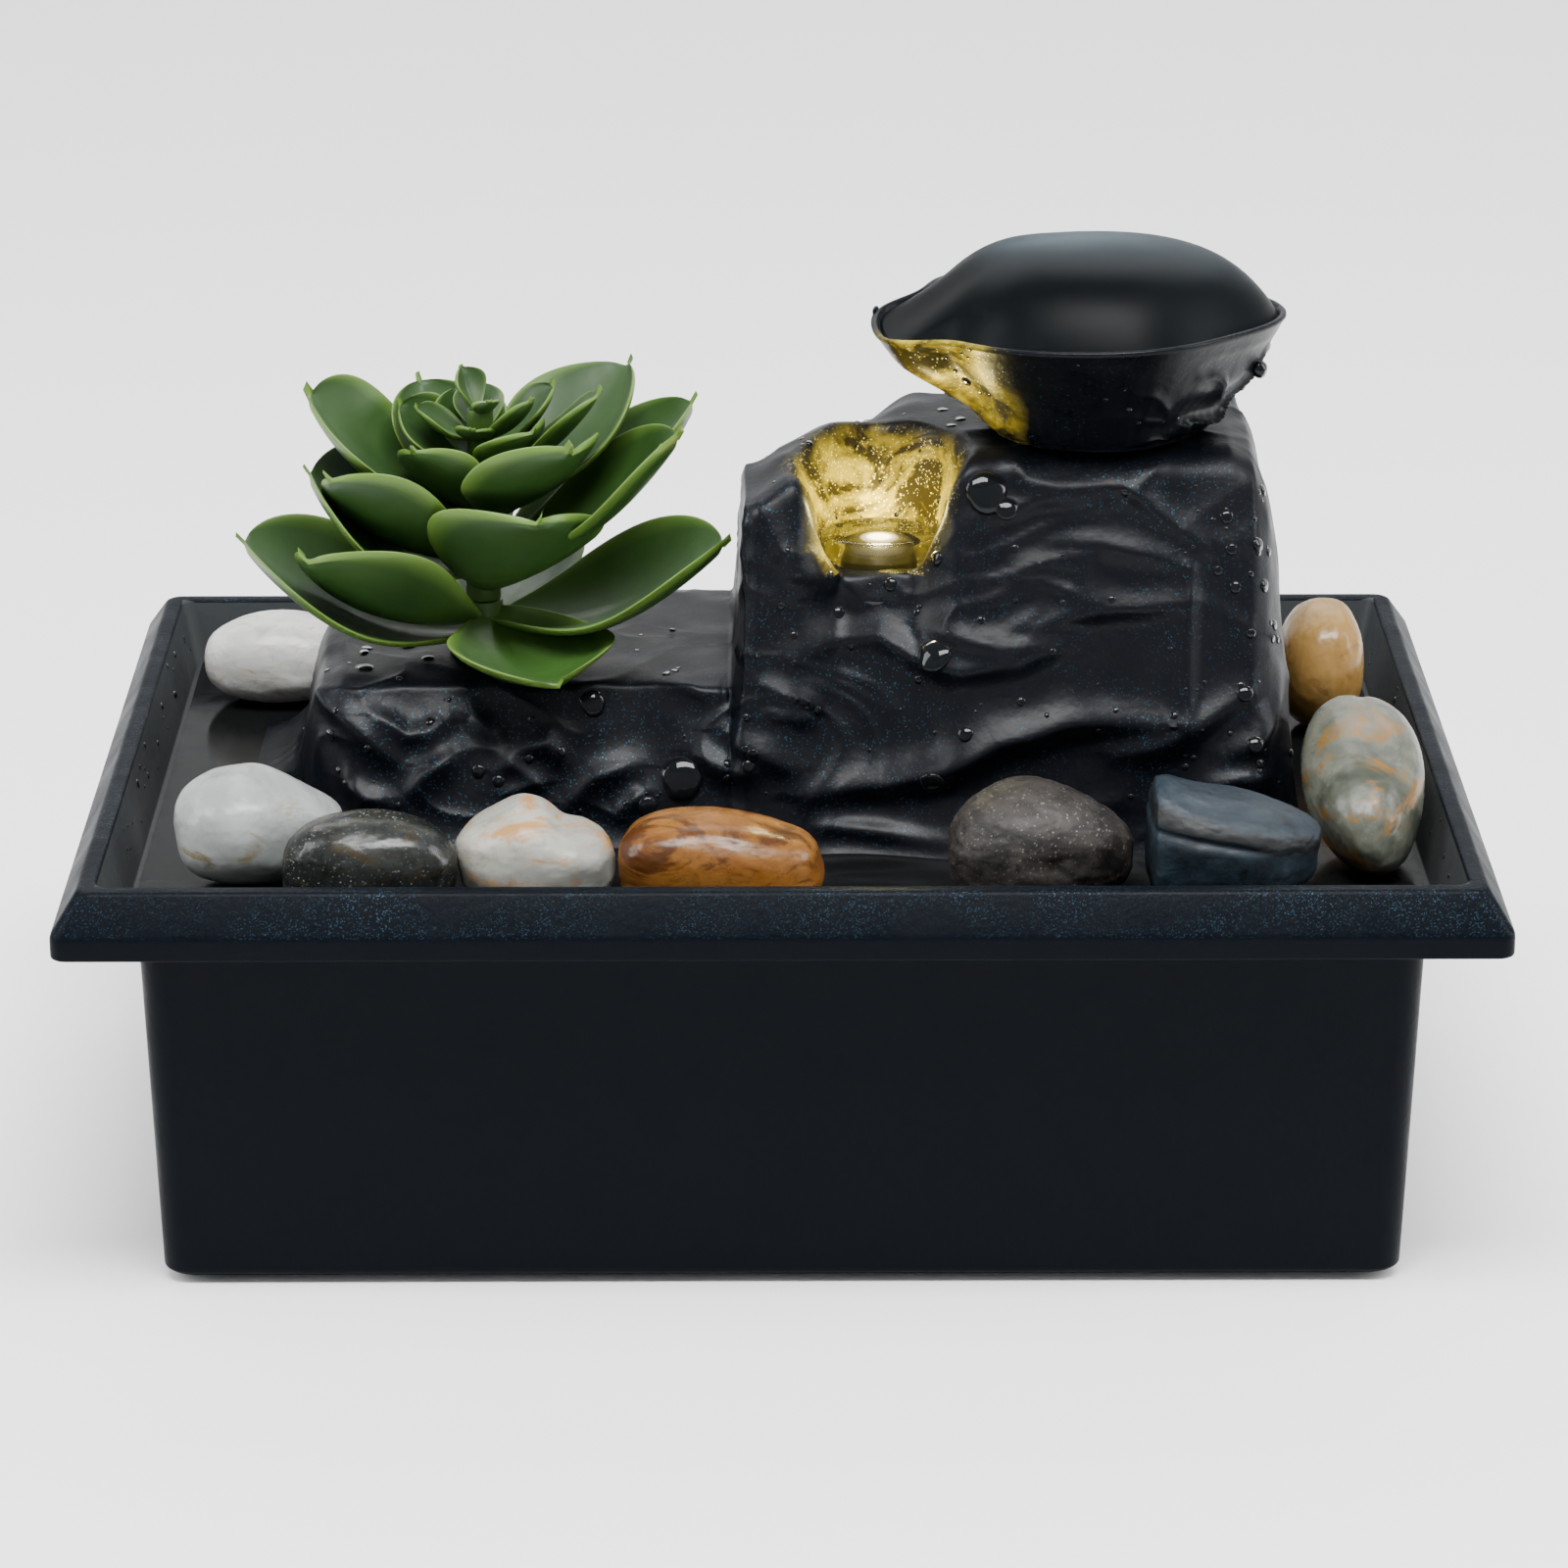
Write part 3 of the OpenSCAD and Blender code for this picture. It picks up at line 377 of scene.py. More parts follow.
def metal(name, color, rough, brushed=(1, 1, 30)):
    s = Shader(name, color, rough, 1.0)
    lines = s.noise(400, 4, place=s.stretched(*brushed))
    s.set("Roughness", s.ramp(lines, (0.3, rough * 0.7), (0.7, rough * 1.4)))
    s.set("Base Color", s.mix(lines, color, tuple(c * 0.75 for c in color)))
    s.bump(lines, 0.08, 0.0001)
    return s.mat


def water(name, tint=(0.96, 0.985, 1.0), rough=0.015, ior=1.33, clear=1.0):
    s = Shader(name, tint, rough, Transmission_Weight=clear, IOR=ior)
    s.set("Roughness", s.ramp(s.noise(30, 2), (0.3, rough * 0.8), (0.7, rough * 1.2)))
    s.bump(s.noise(60, 2), 0.05, 0.0005)
    return s.mat


# ---------- finishes ----------

# the rock's pool and the bowl's wall above it carry a painted warm glow from the pool's lamp
ROCK = flake_paint("rock_paint", (0.0016, 0.0019, 0.0034), (0.014, 0.045, 0.066), 0.38, 0.17, 0.13,
                   lit=(LED.x, LED.y + 2, 9, 15, LED_TOP - 3.0, SEAT_Z - 0.5))
BOWL = flake_paint("bowl_paint", (0.0016, 0.0020, 0.0032), (0.018, 0.05, 0.07), 0.30, 0.12, 0.12,
                   lit=(LED.x + 8, LED.y - 2, 4, 14.5, SEAT_Z, SEAT_Z + 22))
INSIDE = moulded("bowl_inside", (0.004, 0.0055, 0.0065), 0.6, strength=0.0, Specular_IOR_Level=0.05)
OUTLET = moulded("outlet_plastic", (0.0012, 0.0015, 0.0017), 0.8, strength=0.0, Specular_IOR_Level=0.05)
RIM = flake_paint("rim_paint", (0.0014, 0.0024, 0.0042), (0.016, 0.036, 0.056), 0.40, 0.20, 0.045,
                  above=BASIN_HI.z - 5.8, grain=6800)
DECK = moulded("deck_plastic", (0.0015, 0.0018, 0.002), 0.14, strength=0.04, Specular_IOR_Level=0.10)
PUMP = moulded("pump_plastic", (0.012, 0.012, 0.013), 0.5)
RUBBER = moulded("rubber_black", (0.003, 0.003, 0.003), 0.65, grain=900, strength=0.2,
                 Specular_IOR_Level=0.12)
SILICONE = moulded("silicone", (0.55, 0.57, 0.57), 0.35)
STEEL = metal("zinc_steel", (0.60, 0.60, 0.62), 0.3)
CORE = metal("core_steel", (0.28, 0.28, 0.29), 0.45, brushed=(1, 60, 1))
COPPER = metal("copper_wire", (0.75, 0.33, 0.13), 0.28, brushed=(1, 1, 40))
MAGNET = moulded("magnet_white", (0.68, 0.68, 0.70), 0.4)
CERAMIC = moulded("ceramic_shaft", (0.86, 0.86, 0.83), 0.15)
SPONGE = moulded("sponge", (0.03, 0.03, 0.034), 0.9, grain=500, strength=0.9)
BOARD = moulded("solder_mask", (0.02, 0.12, 0.04), 0.3)
WATER = water("water")
FLOW = water("flowing_water", (0.20, 0.27, 0.31), 0.40, 1.12)
BEAD = water("bead_water", (0.004, 0.005, 0.006), 0.03, 1.27, clear=0.2)
CLEAR = water("clear_plastic", (0.93, 0.94, 0.95))


def glow(name, color, power, reach):
    """Clear warm plastic, lit only within a short distance of the light's axis."""
    s = Shader(name, (0.045, 0.036, 0.008), 0.3, Specular_IOR_Level=0.1)
    x, y, _ = s.apart(s.place)
    far = s.from_axis(x, y, LED.x * MM, LED.y * MM)
    hot = s.ramp(s.math("DIVIDE", far, reach * MM), (0.28, 1), (0.42, 0.2), (0.62, 0.008), (0.8, 0))
    s.set("Emission Color", color)
    s.set("Emission Strength", s.times(hot, power))
    s.bump(s.noise(700, 2), 0.05, 0.0002)
    return s.mat


LENS = glow("lit_lens", (1.0, 0.82, 0.42), 14.0, 5.0)
CHIP = glow("lit_chip", (1.0, 0.68, 0.25), 4.0, 5.0)


def leaf_look():
    s = Shader("leaf_vinyl", (0.03, 0.08, 0.02), 0.42, Specular_IOR_Level=0.4)
    to_rim, to_tip, _ = s.apart(s.add("TexCoord").outputs["UV"])
    rim = s.ramp(to_rim, (0.0, 0), (0.80, 0.02), (0.93, 0.55), (1.0, 1))
    soft = s.ramp(s.noise(45, 4), (0.3, (0.011, 0.036, 0.006)), (0.7, (0.024, 0.064, 0.010)))
    grown = s.mix(s.ramp(to_tip, (0.0, 0.8), (0.55, 0)), soft, (0.036, 0.078, 0.010))
    s.set("Base Color", s.mix(rim, grown, (0.085, 0.160, 0.022)))
    s.set("Roughness", s.ramp(s.noise(300, 3), (0.3, 0.36), (0.7, 0.5)))
    s.bump(s.noise(1300, 3), 0.10, 0.0002)
    return s.mat


LEAF = leaf_look()


def pebble_look(name, base, cloud, stain, stain_from, scale=60, fleck=None, rough=0.30, grit=0.05,
                turn=(0, 0, 0), band=None):
    """Wet polished stone: clouded tones, wandering stains, fine veins, pits and flecks."""
    s = Shader(name, base, rough, Specular_IOR_Level=0.30)
    laid = s.stretched(1, 1, 2.2, turn)
    tone = s.mix(s.ramp(s.noise(scale, 6, 0.62, 1.0), (0.40, 0), (0.60, 1)), base, cloud)
    tone = s.mix(s.ramp(s.noise(scale * 3.4, 6, 0.7, 0.8), (0.50, 0), (0.68, 0.55)), tone,
                 tuple(c * 0.55 for c in base))
    soak = s.ramp(s.noise(scale * 0.9, 8, 0.66, 2.4, place=laid), (stain_from, 0), (stain_from + 0.09, 1))
    tone = s.mix(s.times(soak, 0.9), tone, stain)
    wander = s.noise(scale * 1.3, 6, 0.6, 1.8, place=laid)
    veins = s.ramp(s.absolute(s.minus(wander, 0.5)), (0.0, 0.6), (0.012, 0))
    tone = s.mix(s.times(veins, s.ramp(s.noise(scale, 2), (0.42, 0), (0.58, 1))), tone, stain)
    if band:
        x0, z0, slope, half = band
        x, _, z = s.apart(s.place)
        line = s.plus(s.times(s.minus(x, x0 * MM), slope), z0 * MM)
        off = s.plus(s.absolute(s.minus(z, line)), s.wobble(400, 5, 0.0022))
        tone = s.mix(s.ramp(s.math("DIVIDE", off, half * MM), (0.6, 1), (1, 0)), tone, (0.004, 0.005, 0.006))
    if fleck:
        spots = s.ramp(s.cells(4600), (0.84, 0), (0.92, 1))
        tone = s.mix(s.times(spots, s.ramp(s.noise(90, 3), (0.40, 0.15), (0.6, 0.9))), tone, fleck)
    s.set("Base Color", tone)
    s.set("Roughness", s.ramp(s.noise(240, 4), (0.3, rough * 0.8), (0.7, rough * 1.3)))
    s.bump(s.noise(600 if grit < 0.2 else 420, 6), grit, 0.0004)
    return s.mat


# ---------- basin ----------

def build_basin():
    hx, hy = BASIN_HI.x, BASIN_HI.y
    rim_z, floor_z = BASIN_HI.z, BASIN_LO.z
    ledge_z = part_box("deck_tray")[0].z / MM + 2.5
    overhang, wall = 11.3, 1.8
    lip_z = rim_z - 9.5
    # inset from the rim's outer edge, height, radius of the corner there
    outline = [
        (overhang + 2.6, floor_z, 0.8), (overhang + 1.6, floor_z + 1.0, 0.4), (overhang, lip_z - 3.9, 0.5),
        (1.0, lip_z, 0.8), (0.0, lip_z + 0.3, 0.4), (0.0, rim_z - 5.8, 0.7), (3.8, rim_z, 0.7),
        (6.2, rim_z, 0.5), (8.5, ledge_z, 0.3), (overhang + wall, ledge_z, 0.5),
        (overhang + wall + 1.6, floor_z + 4.2, 1.2), (overhang + wall + 3.6, floor_z + 2.2, 1.0)]
    rounded = fillet([(p[0], p[1]) for p in outline], [p[2] for p in outline])
    start = min(range(len(rounded)), key=lambda i: rounded[i][1] + rounded[i][0] * 0.001)
    rounded = rounded[start:] + rounded[:start]
    rim_corner, body_corner = 2.2, 4.0
    rings = [plate_ring(hx - inset, hy - inset, body_corner if inset > 9 else rim_corner, z)
             for inset, z in rounded]
    basin = mesh_object("basin_shell", *skin(rings), RIM, sharp=40)
    lo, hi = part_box("cable_grommet")
    notch_x, half = (lo.x + hi.x) / 2 / MM, (hi.x - lo.x) / 2 / MM + 0.05
    low = lo.z / MM + half
    shape = [(half * math.cos(a), low + half * math.sin(a)) for a in np.linspace(math.pi, 2 * math.pi, 17)]
    shape += [(half, rim_z + 6), (-half, rim_z + 6)]
    walls = [[(notch_x + x, y, z) for x, z in shape] for y in (lo.y / MM, hy + 4)]
    cut_away(basin, mesh_object("notch_cutter", *skin(walls), RIM))
    shade(basin.data, 40)
    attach(basin, "base")
    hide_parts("basin")
    return basin


# ---------- rockery ----------

CLIFF_X = -6.5  # the low rock ends here and the tall one begins
TALL_H = SEAT_Z - 0.5 - DECK_Z
LOW_H = PLATEAU_Z - DECK_Z
POOL_DROP = 18
POOL_HALF_X, POOL_HALF_Y = 14, 16
SMOOTHING_PASSES = 10
FOLD_HEIGHT, FOLD_WIDTH = 1.35, 1.2  # these two scale the folds' own numbers
ROUGH_HEIGHT = 0.62

# How much of its full height the rock has at x: its two ends round off
SHARES = [(-82, 0.02), (-78, 0.09), (-75, 0.2), (-73.2, 0.45), (-72.2, 0.75), (-70.5, 0.93), (-67, 1),
          (68, 1), (71.5, 0.98), (73.8, 0.9), (75.6, 0.72), (77.2, 0.45), (78.4, 0.2), (79.4, 0.02)]

# Folds moulded into the front: points (x, z) in order, height, half width above and below
FOLDS = [
    ([(-3, 105.5), (2, 97), (10, 93.5), (12.5, 91.5)], 1.3, 3.0, 1.6),
    ([(2, 85), (9, 86), (15, 86.7), (20, 84.2), (27, 83.2), (35, 84), (42.5, 86.4)], 1.3, 2.4, 1.4),
    ([(21.5, 88.8), (27, 88.2), (32.5, 86.4), (40, 86.8)], 0.8, 1.8, 1.4),
    ([(35.3, 112), (37, 109.6), (41.5, 109), (51.5, 109.5)], 1.0, 1.4, 1.4),
    ([(30, 105.2), (34, 105.5), (38.5, 107), (47, 107.5)], 0.8, 1.4, 1.2),
    ([(36, 98.5), (44.5, 98.2), (47, 93.5)], 0.8, 1.8, 1.4),
    ([(32.5, 94.2), (35.5, 96), (40, 95.5), (47, 93)], 0.7, 1.5, 1.2),
    ([(38, 89.2), (44, 91), (51.5, 92), (61, 92.4)], 1.0, 2.0, 1.2),
    ([(40.3, 101.4), (47, 101.4), (55, 99.8), (62.5, 97.2)], 0.8, 1.8, 1.4),
    ([(61.5, 99), (61.2, 88), (61, 75)], 1.1, 2.6, 1.0),
    ([(58, 113), (53, 108.5), (56.5, 105.4), (63.5, 100.7)], 1.0, 1.8, 1.2),
    ([(4, 64.7), (10, 65.1), (16.5, 66), (25, 68.6), (32.5, 72.6), (43.5, 75.2), (52.5, 75.4), (57, 75.2)],
     2.0, 2.8, 1.5),
    ([(50.5, 70.6), (58, 72.2), (63, 75.4), (69, 79.2)], 1.4, 2.2, 1.5),
    ([(67, 71), (71.4, 72.7), (75.2, 77.6)], 1.2, 1.8, 1.4),
    ([(63.7, 66.2), (69, 67.4), (72.5, 67.4)], 1.2, 1.6, 1.3),
    ([(6, 59.8), (14, 58.6), (25, 57.4)], 1.4, 1.6, 1.4),
    ([(-3.4, 81), (1, 79.6), (5.4, 78)], 0.9, 1.5, 1.2),
    ([(-3, 77), (1, 76.4), (4.3, 75.6)], 0.9, 1.5, 1.2),
    ([(-8.4, 73.4), (-3, 71), (1.6, 68.6)], 1.1, 2.2, 1.4),
    ([(-71.6, 78.4), (-66.2, 75.3), (-61.3, 71), (-57.3, 68.2)], 1.6, 2.2, 1.7),
    ([(-61.3, 75.3), (-56.4, 72.2), (-53.4, 72.6), (-50.5, 74.4)], 1.3, 1.8, 1.4),
    ([(-49, 70), (-53.4, 66.8), (-56.4, 63.6)], 1.6, 2.0, 1.8),
    ([(-65.2, 65.8), (-62.7, 63.6), (-59.3, 63.2)], 1.3, 1.7, 1.5),
    ([(-46.6, 75.3), (-45, 73.6), (-43.1, 72.2)], 1.0, 1.3, 1.2),
    ([(-40.2, 70.4), (-35.3, 71.3), (-32.8, 68.6)], 1.3, 1.7, 1.6),
    ([(-42.6, 67.7), (-40.7, 68.6), (-36.8, 65.8)], 1.0, 1.6, 1.2),
    ([(-41.6, 64.5), (-36.3, 65.8)], 0.9, 1.2, 1.0),
    ([(-22, 68.1), (-27.9, 66.2), (-32.3, 62.6)], 1.5, 2.0, 1.6),
    ([(-20.6, 64.4), (-24.5, 61.2)], 1.2, 1.5, 1.4),
    ([(-13.2, 70.4), (-8.3, 68.1), (-4, 68.5)], 1.3, 1.9, 1.5),
    ([(-16.2, 79.6), (-12.2, 78.3), (-8.8, 78.3)], 1.0, 1.3, 1.1),
]


def rock_top(x, y):
    """Height of the rock's top above the deck."""
    tall = ease(CLIFF_X - 1.2, CLIFF_X + 1.2, x)
    tall_top = (TALL_H - 7 * (1 - ease(-6, 9, x)) - 2 * ease(70, 77, x)
                - 0.42 * np.maximum(0, y - 9) * (1 - ease(8, 22, x)))
    level = LOW_H + (tall_top - LOW_H) * tall
    calm = ease(17, 24, from_line(AXIS, x, y)) * ease(14, 22, from_line(STEM, x, y))
    rough = 0.3 * ripple(2.2 * x, 2.6 * y) * calm
    out = np.hypot((x - LED.x) / POOL_HALF_X, (y - LED.y) / POOL_HALF_Y)
    floor_h = TALL_H - POOL_DROP
    lip = 2.4 * np.exp(-((y - LED.y + 6.6) / 1.3) ** 2 - ((x - LED.x) / 8) ** 2)
    pool = floor_h + lip + (level + rough - floor_h) * ease(0.5, 1, out)
    return np.where((out < 1) & (tall > 0.5), pool, level + rough)


def rock_grid():
    """Grid of points over the rock: rows along X, columns up the front, over the top and down the back."""
    x = np.concatenate([np.linspace(-82, -66, 50), np.linspace(-65.6, -10, 130), np.linspace(-9.7, -3.2, 60),
                        np.linspace(-2.8, 66, 170), np.linspace(66.4, 79.4, 60)])
    share = np.interp(x, *zip(*SHARES))
    tall = ease(CLIFF_X - 2, CLIFF_X + 4, x)
    right_in = 7 * ease(70, 79.5, x)
    front_in = 36 * (1 - ease(-86, -64, x)) + right_in
    back_in = 8 * (1 - ease(-84, -66, x)) + right_in
    foot_front = -27 - 3 * tall + front_in + 1.5 * np.sin(np.radians(9 * x))
    foot_back = 38 + 3 * tall - back_in + 1.2 * np.sin(np.radians(8 * x + 30))
    top_front = -16 + 5 * tall + 0.7 * front_in + np.sin(np.radians(12 * x))
    top_back = 32 - 2 * tall - 0.8 * back_in + np.sin(np.radians(10 * x))

    def wall(foot, top, t):
        t = t[None, :]
        height = (rock_top(x, top) * share)[:, None]
        lean = t ** 0.75 - 0.12 * np.sin(np.pi * t)
        bump = 0.5 * ripple(2.4 * x[:, None], 34 * t) * np.sin(np.pi * t) * np.sign(foot)[:, None]
        y = foot[:, None] + (top - foot)[:, None] * lean + bump
        return y, DECK_Z + height * t

    up = np.linspace(0, 0.97, 90)
    front_y, front_z = wall(foot_front, top_front, up)
    across = np.linspace(0, 1, 80)[None, :]
    top_y = (top_front + 1.2)[:, None] + (top_back - top_front - 2.4)[:, None] * across
    edge = 0.6 * np.abs(2 * across - 1) ** 6
    top_z = DECK_Z + (rock_top(x[:, None] + 0 * top_y, top_y) - edge) * share[:, None]
    back_y, back_z = wall(foot_back, top_back, up[::-2])
    y = np.concatenate([front_y, top_y, back_y], 1)
    z = np.concatenate([front_z, top_z, back_z], 1)
    return np.stack([np.repeat(x[:, None], y.shape[1], 1), y, z], 2)


def fold_relief(x, z):
    """Relief of the moulded folds at points (x, z) of the front, in millimetres."""
    relief = np.zeros_like(x)
    for line, height, above, below in FOLDS:
        best = np.full_like(x, 1e9)
        shape = np.zeros_like(x)
        steps = np.array(line, float)
        lengths = np.hypot(*np.diff(steps, axis=0).T)
        total, passed = lengths.sum(), 0.0
        for a, b, length in zip(steps[:-1], steps[1:], lengths):
            d = (b - a) / length
            along = np.clip((x - a[0]) * d[0] + (z - a[1]) * d[1], 0, length)
            off_x, off_z = x - a[0] - along * d[0], z - a[1] - along * d[1]
            distance = np.hypot(off_x, off_z)
            width = FOLD_WIDTH * np.where(off_z > 0, above, below)
            t = (passed + along) / total
            fade = np.sqrt(np.clip(np.sin(np.pi * (0.06 + 0.88 * t)), 0, 1))
            here = bell(distance, 0, width, 1.6) * fade
            closer = distance < best
            shape = np.where(closer, here, shape)
            best = np.minimum(best, distance)
            passed += length
        relief += FOLD_HEIGHT * height * shape
    return relief


def crumple(p):
    """Soft swells and creases of the rock's plastic at a point."""
    q = Vector((p[0] * 0.026, p[1] * 0.04, p[2] * 0.047))
    wander = noise.noise(q * 1.3 + Vector((3, 7, 1)))
    crease = 1 - abs(noise.noise(q * 1.6 + Vector((wander * 1.4, wander, wander * 1.8))))
    swell = 0.8 * noise.noise(q * 1.1 + Vector((8, 1, 4)))
    return 0.75 * (crease ** 5 - 0.4) + swell + 0.06 * noise.noise(q * 6)


def build_rock():
    grid = rock_grid()
    for _ in range(SMOOTHING_PASSES):
        inner = grid[1:-1, 1:-1]
        near = (grid[:-2, 1:-1] + grid[2:, 1:-1] + grid[1:-1, :-2] + grid[1:-1, 2:]) / 4
        grid[1:-1, 1:-1] = inner * 0.45 + near * 0.55
    along = np.gradient(grid, axis=0)
    up = np.gradient(grid, axis=1)
    normal = np.cross(along, up)
    normal /= np.maximum(np.linalg.norm(normal, axis=2, keepdims=True), 1e-9)
    x, y, z = grid[..., 0], grid[..., 1], grid[..., 2]
    front = np.clip(-normal[..., 1] * 1.6, 0, 1) * (y < 5)
    relief = fold_relief(x, z) * front
    rough = np.array([crumple(p) for p in grid.reshape(-1, 3)]).reshape(x.shape)
    calm = ease(9, 16, from_line(AXIS, x, y)) + (z < SEAT_Z - 9)
    calm = np.clip(calm, 0, 1) * ease(6, 13, from_line(STEM, x, y))
    calm = calm * ease(6, 10, from_line(LED, x, y) + 20 * (z < LED_TOP - 8))
    panel = (ease(44, 48, x) * (1 - ease(60, 62, x))
             * ease(76, 80, z) * (1 - ease(98, 102, z)) * (y < 5))
    calm = calm * (1 - 0.85 * panel)
    foot = ease(0.3, 4, z - DECK_Z)
    grid = grid + normal * ((relief + (rough - 0.3) * ROUGH_HEIGHT * calm) * foot)[..., None]
    rock = mesh_object("rockery_skin", *skin(grid[::-1]), ROCK)
    flip = bmesh.new()
    flip.from_mesh(rock.data)
    bmesh.ops.recalc_face_normals(flip, faces=flip.faces)
    flip.to_mesh(rock.data)
    flip.free()
    # openings for the riser, the plant's socket and the light: centre, bottom, top, radius
    bores = [(AXIS, SEAT_Z - 18, SEAT_Z + 3, 7.0), (STEM, PLATEAU_Z - 12, PLATEAU_Z + 3, 4.5),
             (LED, LED_TOP - 9.3, LED_TOP + 6, 4.95)]
    for i, (at, z0, z1, r) in enumerate(bores):
        cut_away(rock, rod(f"bore_{i}", at.x, at.y, z0, z1, r, ROCK))
    shade(rock.data, 50)
    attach(rock, "rockery")
    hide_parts("rockery_shell")
    return rock


# ---------- upper bowl and its water ----------

BOWL_Z = SEAT_Z
BOWL_H = 18
BOWL_HALF_X, BOWL_HALF_Y = 28, 24
SPOUT = 184  # degrees round the bowl, from the right
SPOUT_REACH = 7
CROWN = 11.2


def turn_gap(a, b):
    """Smallest angle between a and b, in degrees."""
    gap = np.abs(a - b) % 360
    return np.minimum(gap, 360 - gap)


def bowl_out(a, nose=1.0):
    """Outline of the bowl: distance from its middle at angle a, with the spout's nose."""
    d = np.radians(a)
    return (1 / np.hypot(np.cos(d) / BOWL_HALF_X, np.sin(d) / BOWL_HALF_Y)
            + SPOUT_REACH * nose * bell(turn_gap(a, SPOUT), 0, 19, 4)
            + 0.8 * np.sin(3 * d + math.radians(20)) + 0.5 * np.sin(5 * d + math.radians(70)))


def bowl_rim(a):
    """Height of the rim over the bowl's foot."""
    return (BOWL_H - 2.2 * bell(turn_gap(a, SPOUT + 2), 0, 20) + 1.2 * bell(turn_gap(a, 150), 0, 22)
            + 0.5 * np.sin(np.radians(2 * a + 200)))


def bowl_ring(a, share, rise, inset, lift=None):
    """One ring round the bowl, as an array of points in millimetres."""
    uneven = 0.12 * ripple(3 * a, 40 * rise) * (1 - rise)
    r = bowl_out(a, ease(0.1, 0.75, rise)) * share - inset + uneven
    z = BOWL_Z + (bowl_rim(a) * rise if lift is None else lift + 0 * a)
    return np.stack([AXIS.x + r * np.cos(np.radians(a)), AXIS.y + r * np.sin(np.radians(a)), z], 1)


def through(rows, steps):
    """Smooth curve through rows of values (Catmull-Rom), at even steps."""
    rows = np.array(rows, float)
    padded = np.vstack([2 * rows[0] - rows[1], rows, 2 * rows[-1] - rows[-2]])
    out = []
    for i in range(1, len(rows)):
        a, b, c, d = padded[i - 1], padded[i], padded[i + 1], padded[i + 2]
        for s in range(steps):
            t = s / steps
            out.append(0.5 * (2 * b + (c - a) * t + (2 * a - 5 * b + 4 * c - d) * t * t
                              + (3 * b - a - 3 * c + d) * t ** 3))
    out.append(rows[-1])
    return out


def build_bowl():
    a = np.linspace(0, 360, 360, endpoint=False)
    # rows of (share of the outline, share of the height, inset in mm)
    outer = through([(0.58, 0.001, 0), (0.66, 0.10, 0), (0.75, 0.32, 0), (0.865, 0.60, 0),
                     (0.96, 0.86, 0)], 14)
    lip = [(0.985, 0.94, 0.0), (0.997, 0.965, -0.05), (1, 0.985, 0.05), (1, 0.996, 0.25), (1, 1.0, 0.55),
           (1, 0.997, 0.85), (1, 0.985, 1.05), (0.998, 0.965, 1.2)]
    inner = through([(0.99, 0.94, 1.5), (0.9, 0.7, 1.7), (0.78, 0.45, 1.8), (0.62, 0.24, 1.8),
                     (0.56, 0.19, 0.0)], 5)
    rings = []
    for share, rise, inset in outer + lip + inner:
        ring = bowl_ring(a, share, rise, inset)
        if rise < 0.2 and share < 0.6:
            ring[:, 2] = BOWL_Z + (0.02 if inset == 0 and rise < 0.1 else 3.4)
        rings.append(ring)
    rings = np.array(rings)
    count = len(outer)
    for j in range(count):
        t = j / (count - 1)
        swell = math.sin(math.pi * min(1, t * 1.04)) ** 0.8
        for i, angle in enumerate(a):
            d = math.radians(angle)
            out = np.array(Vector((math.cos(d), math.sin(d))))
            side = math.exp(-(float(turn_gap(angle, 340)) / 34) ** 2)
            rear = math.exp(-(float(turn_gap(angle, 60)) / 70) ** 2)
            q = Vector((math.cos(d) * 1.3, math.sin(d) * 1.3, t * 1.3))
            soft = noise.noise(q * 0.9 + Vector((4, 2, 9)))
            crease = 1 - abs(noise.noise(q * 1.7 + Vector((soft * 1.3, 1.5, soft))))
            shelf = math.sin(12 * t + 2.2 * math.sin(3 * d) + 3 * soft)
            push = swell * (0.7 * soft + (0.2 + 1.5 * side + 0.6 * rear) * (crease ** 5 - 0.4)
                            + 0.9 * side * shelf * (1 - 0.5 * t))
            rings[j, i, :2] += out * push
    bowl = mesh_object("bowl_skin", *skin(rings), BOWL)
    bowl.data.materials.append(INSIDE)
    for poly in bowl.data.polygons:
        inside = poly.index // len(a) >= count + len(lip) - 1 and poly.index != len(bowl.data.polygons) - 2
        poly.material_index = int(inside)
    cut_away(bowl, rod("bowl_bore", AXIS.x, AXIS.y, BOWL_Z - 3, BOWL_Z + 6, 2.5, BOWL))
    spigot = tube("bowl_spigot", AXIS.x, AXIS.y, BOWL_Z - 7, BOWL_Z + 0.6, 4.0, 2.5, BOWL)
    shade(bowl.data, 55)
    for piece in (bowl, spigot):
        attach(piece, "bowl")
    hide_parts("upper_bowl")
    return bowl


